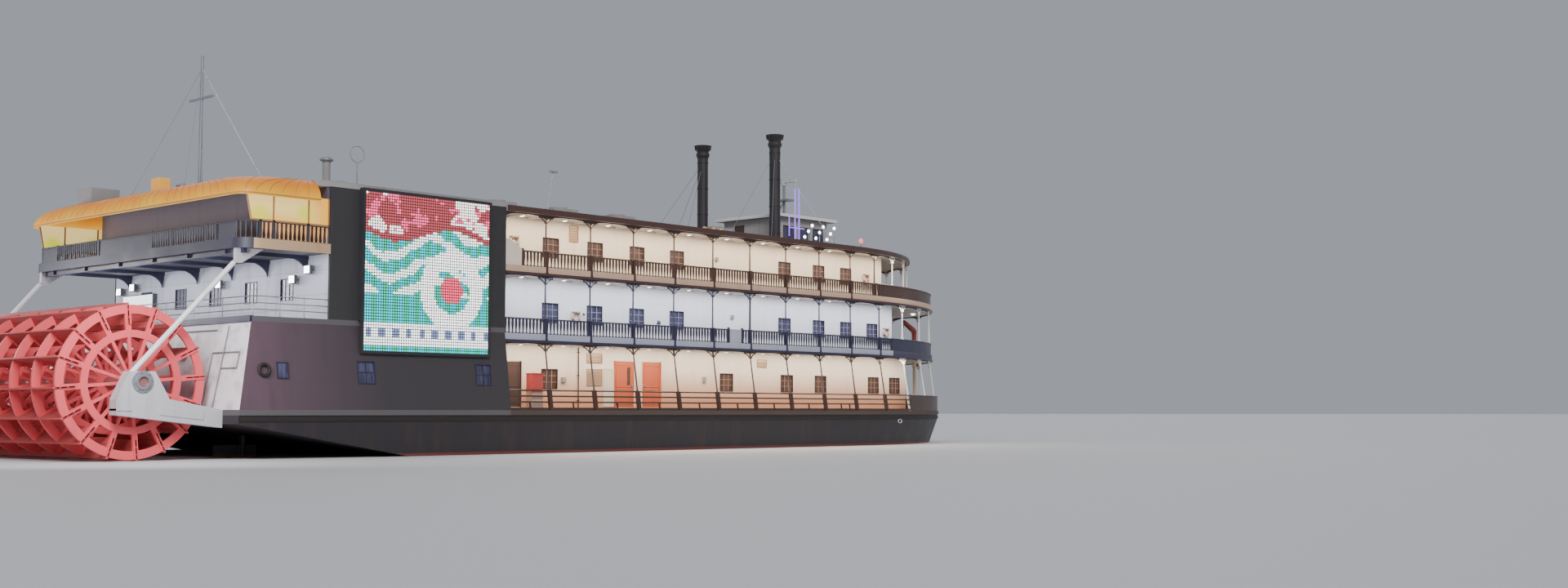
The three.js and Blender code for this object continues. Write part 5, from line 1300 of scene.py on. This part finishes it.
piece("pilothouse_glass",
      gather(stamped(side_glass, *pilot_sides), stamped(front_glass, pilot_front, FORWARD)), PANES["second"])
roof_bead = [[-0.03, -0.17], [0.03, -0.17], [0.05, -0.12], [0.05, -0.04], [0.03, 0.01], [-0.03, 0.01]]
eaves_y = PILOT_HALF + 0.35
eaves = [[PILOT_AFT - 0.35, eaves_y], [PILOT_FORE + 0.5, eaves_y], [PILOT_FORE + 0.5, -eaves_y],
         [PILOT_AFT - 0.35, -eaves_y]]
piece("pilothouse_eaves", carried(level(eaves, PILOT_TOP), roof_bead, closed=True), white_iron)

# Smokestacks
# Two tall stacks of rolled plate, painted black, with riveted bands and a flared crown, held by
# wire stays to the roof.
stack_black = painted("stack_black", (0.028, 0.026, 0.03), (0.09, 0.06, 0.05), 0.4, 0.45, plates=(9.0, 1.6),
                      slot="stack_black")
dress(stack_black, "smokestack_starboard", "smokestack_port")
stack_foot = np.array([25.0, -3.0, ROOF_TOP])
stack_bands = [turned([[0.3, z], [0.35, z + 0.01], [0.35, z + 0.07], [0.3, z + 0.08]], stack_foot, 24)
               for z in (1.2, 2.8, 4.4, 6.0)]
petal_ends = [stack_foot + level(polygon(12) * 0.46, 6.85), stack_foot + level(polygon(12) * 0.53, 7.095)]
petals = bars(*petal_ends, 0.05, 6, far=0.015)
piece("stack_bands", both(*stack_bands, petals), stack_black)
stay_feet = stack_foot + [[-3.2, -2.6, 0], [0.8, -4.2, 0], [-3.2, 1.4, 0]]
stack_stays = bars(stack_foot + [0, 0, 6.04], stay_feet, 0.014, 5)
mast_stays = bars([-10, 0, 18.8], [[-8.2, -3.0, ROOF_STERN], [-12.0, -2.4, ROOF_STERN]], 0.014, 5)
piece("wire_stays", both(stack_stays, mast_stays), galvanised)

# Roof gear
# What is bolted to the steel roof: lit poles and a row of white signal lamps beside the stacks, red
# and amber lamps on short poles, cooling units in painted boxes, vent caps and a ring aerial.
purple_glow = lit("purple_lamp", (0.3, 0.2, 0.6), 0.3, 6.0, (0.2, 0.06, 0.9), (0.34, 0.16, 1.0), 1.3,
                  slot="steel")
red_glow = lit("red_lamp", (0.9, 0.2, 0.2), 0.3, 6.0, (1.0, 0.12, 0.12), (1.0, 0.3, 0.28), 1.4,
               slot="red_paint")
amber_glow = lit("amber_lamp", (0.4, 0.2, 0.03), 0.3, 4.0, (0.8, 0.3, 0.02), (1.0, 0.5, 0.08), 0.7,
                 slot="amber_canopy")
rack = np.array([23.4, -6.0, ROOF_TOP])
tall_poles = bars(rack + [[0, 0, 0], [0.35, 0, 0]], rack + [[0, 0, 3.5], [0.35, 0, 3.5]], 0.045)
cross_poles = bars(rack + [[-0.5, 0, 1.2], [-0.5, 0, 0.7]], rack + [[0.8, 0, 1.2], [-0.5, 0, 1.9]], 0.035)
piece("purple_mast", gather(tall_poles, cross_poles), purple_glow)
lamp_ball = np.array([[0.01, 0], [0.05, 0.02], [0.075, 0.07], [0.075, 0.11], [0.05, 0.16], [0.01, 0.18]])
steps_up = 0.35 * (np.arange(9) % 3)
cluster = np.stack([np.linspace(23.1, 25.7, 9), np.full(9, -7.0), ROOF_TOP + 0.5 + steps_up], -1)


def poles(heads, radius):
    """Round poles from the roof to just inside the lamps at their heads."""
    heads = np.array(heads)
    return bars(level(heads[:, :2], ROOF_TOP), heads + [0, 0, 0.02], radius, 6)


piece("signal_lamps", turned(lamp_ball, cluster, 10), flood_glass)
piece("signal_lamp_poles", poles(cluster, 0.02), galvanised)
RED_LAMPS = [[29.4, y, ROOF_TOP + 0.75] for y in (-6.0, 6.0)]
AMBER_LAMPS = [[s, y, ROOF_TOP + 0.45] for s in (16.4, 17.1, 17.7) for y in (-5.6, 5.6)]
piece("red_lamps", turned(lamp_ball * 1.8, RED_LAMPS), red_glow)
piece("amber_lamps", turned(lamp_ball * 1.5, AMBER_LAMPS), amber_glow)
piece("roof_lamp_poles", poles(RED_LAMPS + AMBER_LAMPS, 0.025), galvanised)


def cooling_unit(aft, y0, length, breadth, foot, height):
    """A box on two runners with a fan ring in its top and thin slats down its sides."""
    fore, y1 = aft + length, y0 + breadth
    slats = [[aft - 0.012, fore + 0.012, y0 - 0.012, y1 + 0.012, z, z + 0.03]
             for z in foot + 0.2 + np.arange(int((height - 0.4) / 0.09)) * 0.09]
    runners = [[aft + 0.1, fore - 0.1, y, y + 0.1, foot, foot + 0.1] for y in (y0 + 0.1, y1 - 0.2)]
    radius = min(length, breadth) * 0.36
    fan = [[radius, 0], [radius, 0.1], [radius - 0.05, 0.12], [radius - 0.05, 0.05], [0.02, 0.05]]
    return gather(blocks([[aft, fore, y0, y1, foot + 0.1, foot + height], *slats, *runners]),
                  turned(fan, [(aft + fore) / 2, (y0 + y1) / 2, foot + height], 24))


UNITS = [(s, y, 1.6, 1.3, ROOF_TOP, 1.0) for s in (3.0, 7.0, 11.0, 18.5) for y in (-4.2, 2.9)]
UNITS += [(-4.6, -2.0, 1.8, 2.2, ROOF_STERN, 1.2), (-4.6, 1.4, 1.8, 2.0, ROOF_STERN, 1.2)]
piece("cooling_units", gather(*[cooling_unit(*numbers) for numbers in UNITS]),
      painted("unit_paint", (0.34, 0.33, 0.33), (0.18, 0.15, 0.13), 0.45))
# The amber box is no lamp: its glow, from the amber lamps' finish, is painted light.
glowing_amber_box = blocks([[-11.75, -11.2, 0.3, 1.0, ROOF_STERN, ROOF_STERN + 0.8]])
pale_box = blocks([[-11.6, -10.2, 7.0, 8.4, ROOF_STERN, ROOF_STERN + 1.0]])
piece("amber_stern_box", glowing_amber_box, amber_glow, bevel=0.03)
piece("pale_stern_box", pale_box, painted("pale_box_paint", (0.3, 0.28, 0.28), (0.15, 0.12, 0.1)), bevel=0.03)
aerial_foot = np.array([-6.9, -7.6, ROOF_STERN])
piece("roof_poles", gather(
    stamped(hoop(0.35, 0.02), aerial_foot + [0, 0, 1.55]), bars(aerial_foot, aerial_foot + [0, 0, 1.2], 0.03),
    bars([2.6, -8.9, ROOF_TOP], [2.9, -8.9, ROOF_TOP + 1.9], 0.035, far=0.02),
    blocks([[2.75, 3.15, -8.97, -8.83, ROOF_TOP + 1.86, ROOF_TOP + 1.94]])), galvanised)
vent_cap = [[0.19, 1.3], [0.3, 1.36], [0.3, 1.42], [0.05, 1.49]]
piece("vent_caps", both(turned(vent_cap, [-7.5, -6.2, ROOF_STERN], 16)), galvanised)

# Davit
# A small steel crane on the second deck's bow: a round pedestal bolted down, a slewing head and a
# box boom, painted red, with a galvanised ram and a sheave and hook block at the boom's end.
davit_red = painted("davit_red", (0.45, 0.075, 0.06), (0.2, 0.05, 0.04), 0.45, 0.45, slot="red_paint")
dress(davit_red, "davit_pedestal", "davit_boom")
davit = np.array([DAVIT_STATION, DAVIT_Y, span("davit_pedestal", UP)[1]])
base_bolts = level(davit[:2] + polygon(8) * 0.25, SECOND_FLOOR + 0.08)
piece("davit_bolts", turned([[0.025, 0], [0.025, 0.035], [0.012, 0.05]], base_bolts, 6), galvanised)
piece("davit_gear", gather(
    stamped(hoop(0.1, 0.03, steps=20), davit + [-1.05, 0, 0.7]),
    bars(davit + [-0.14, 0, 0.1], davit + [-0.75, 0, 0.48], 0.045, 10, far=0.03),
    stamped(blocks([[-0.05, 0.05, -0.04, 0.04, -0.2, 0]]), davit + [-1.12, 0, 0.62]),
    stamped(hoop(0.05, 0.014, steps=16), davit + [-1.12, 0, 0.37])), galvanised, "davit")
jib = bars(davit + [-0.06, 0, 0.21], davit + [-1.02, 0, 0.7], 0.185, 4, far=0.15)
piece("davit_jib", jib, davit_red, "davit", bevel=0.015)

# Floor and light
# A plain pale floor lies at the waterline under a soft sky light and large soft suns. Long soft
# lights under the decks stand for the boat's own ceiling lamps.
REACH = 900
floor_mesh = bpy.data.meshes.new("studio_floor")
floor_mesh.from_pydata([(-REACH, -REACH, 0), (REACH, -REACH, 0), (REACH, REACH, 0), (-REACH, REACH, 0)], [],
                       [(0, 1, 2, 3)])
floor_object = bpy.data.objects.new("studio_floor", floor_mesh)
floor_object.location.z = WATERLINE * SCALE
bpy.context.scene.collection.objects.link(floor_object)
floor_mesh.materials.append(Finish("studio_floor", (0.6, 0.6, 0.61), roughness=0.7).material)
world = bpy.data.worlds.new("studio")
world.use_nodes = True
world.node_tree.nodes["Background"].inputs["Color"].default_value = (0.7, 0.74, 0.82, 1)
world.node_tree.nodes["Background"].inputs["Strength"].default_value = 0.5
bpy.context.scene.world = world


def lamp(name, kind, energy, color, place, aim, **settings):
    """A studio light at a place, turned towards another."""
    light = bpy.data.lights.new(name, kind)
    light.energy = energy
    light.color = color
    for key, value in settings.items():
        setattr(light, key, value)
    holder = bpy.data.objects.new(name, light)
    holder.location = model(place)
    holder.rotation_euler = Vector(model(aim) - model(place)).to_track_quat("-Z", "Y").to_euler()
    bpy.context.scene.collection.objects.link(holder)


lamp("key", "SUN", 2.0, (1, 0.97, 0.93), [-40, -70, 60], [10, 0, 5], angle=math.radians(25))
lamp("fill", "SUN", 0.7, (0.85, 0.9, 1), [60, 50, 40], [10, 0, 5], angle=math.radians(60))
lamp("stern_flood", "AREA", 260, (0.95, 0.95, 1), [-20.5, -14, 9.5], [-12.9, -5.5, 5.5], size=1.5)
lamp("stern_flood_port", "AREA", 260, (0.95, 0.95, 1), [-20.5, 14, 9.5], [-12.9, 5.5, 5.5], size=1.5)
lamp("balcony_flood", "AREA", 60, (0.85, 0.93, 1), [-12.4, 0, 9.7], [-9.2, 0, 8], shape="RECTANGLE", size=8,
     size_y=0.3)
for deck, station, color in (("second", 34.5, (1, 0.97, 0.93)), ("main", 34.5, (1, 0.88, 0.74)),
                             ("third", 33, (1, 0.9, 0.78))):
    lamp(f"bow_{deck}", "AREA", 30, color, [station, 0, CEILINGS[deck] - 0.2], [station, 0, 0], size=3)
for deck, color, power in (("main", (1, 0.82, 0.62), 198), ("second", (0.94, 0.96, 1), 176),
                           ("third", (1, 0.84, 0.64), 242)):
    for side in (-1, 1):
        lamp(f"{deck}_promenade_{side}", "AREA", power, color, [15.4, side * 8.9, CEILINGS[deck] - 0.15],
             [15.4, side * 8.3, MAIN_FLOOR], shape="RECTANGLE", size=31 * SCALE, size_y=0.4 * SCALE)
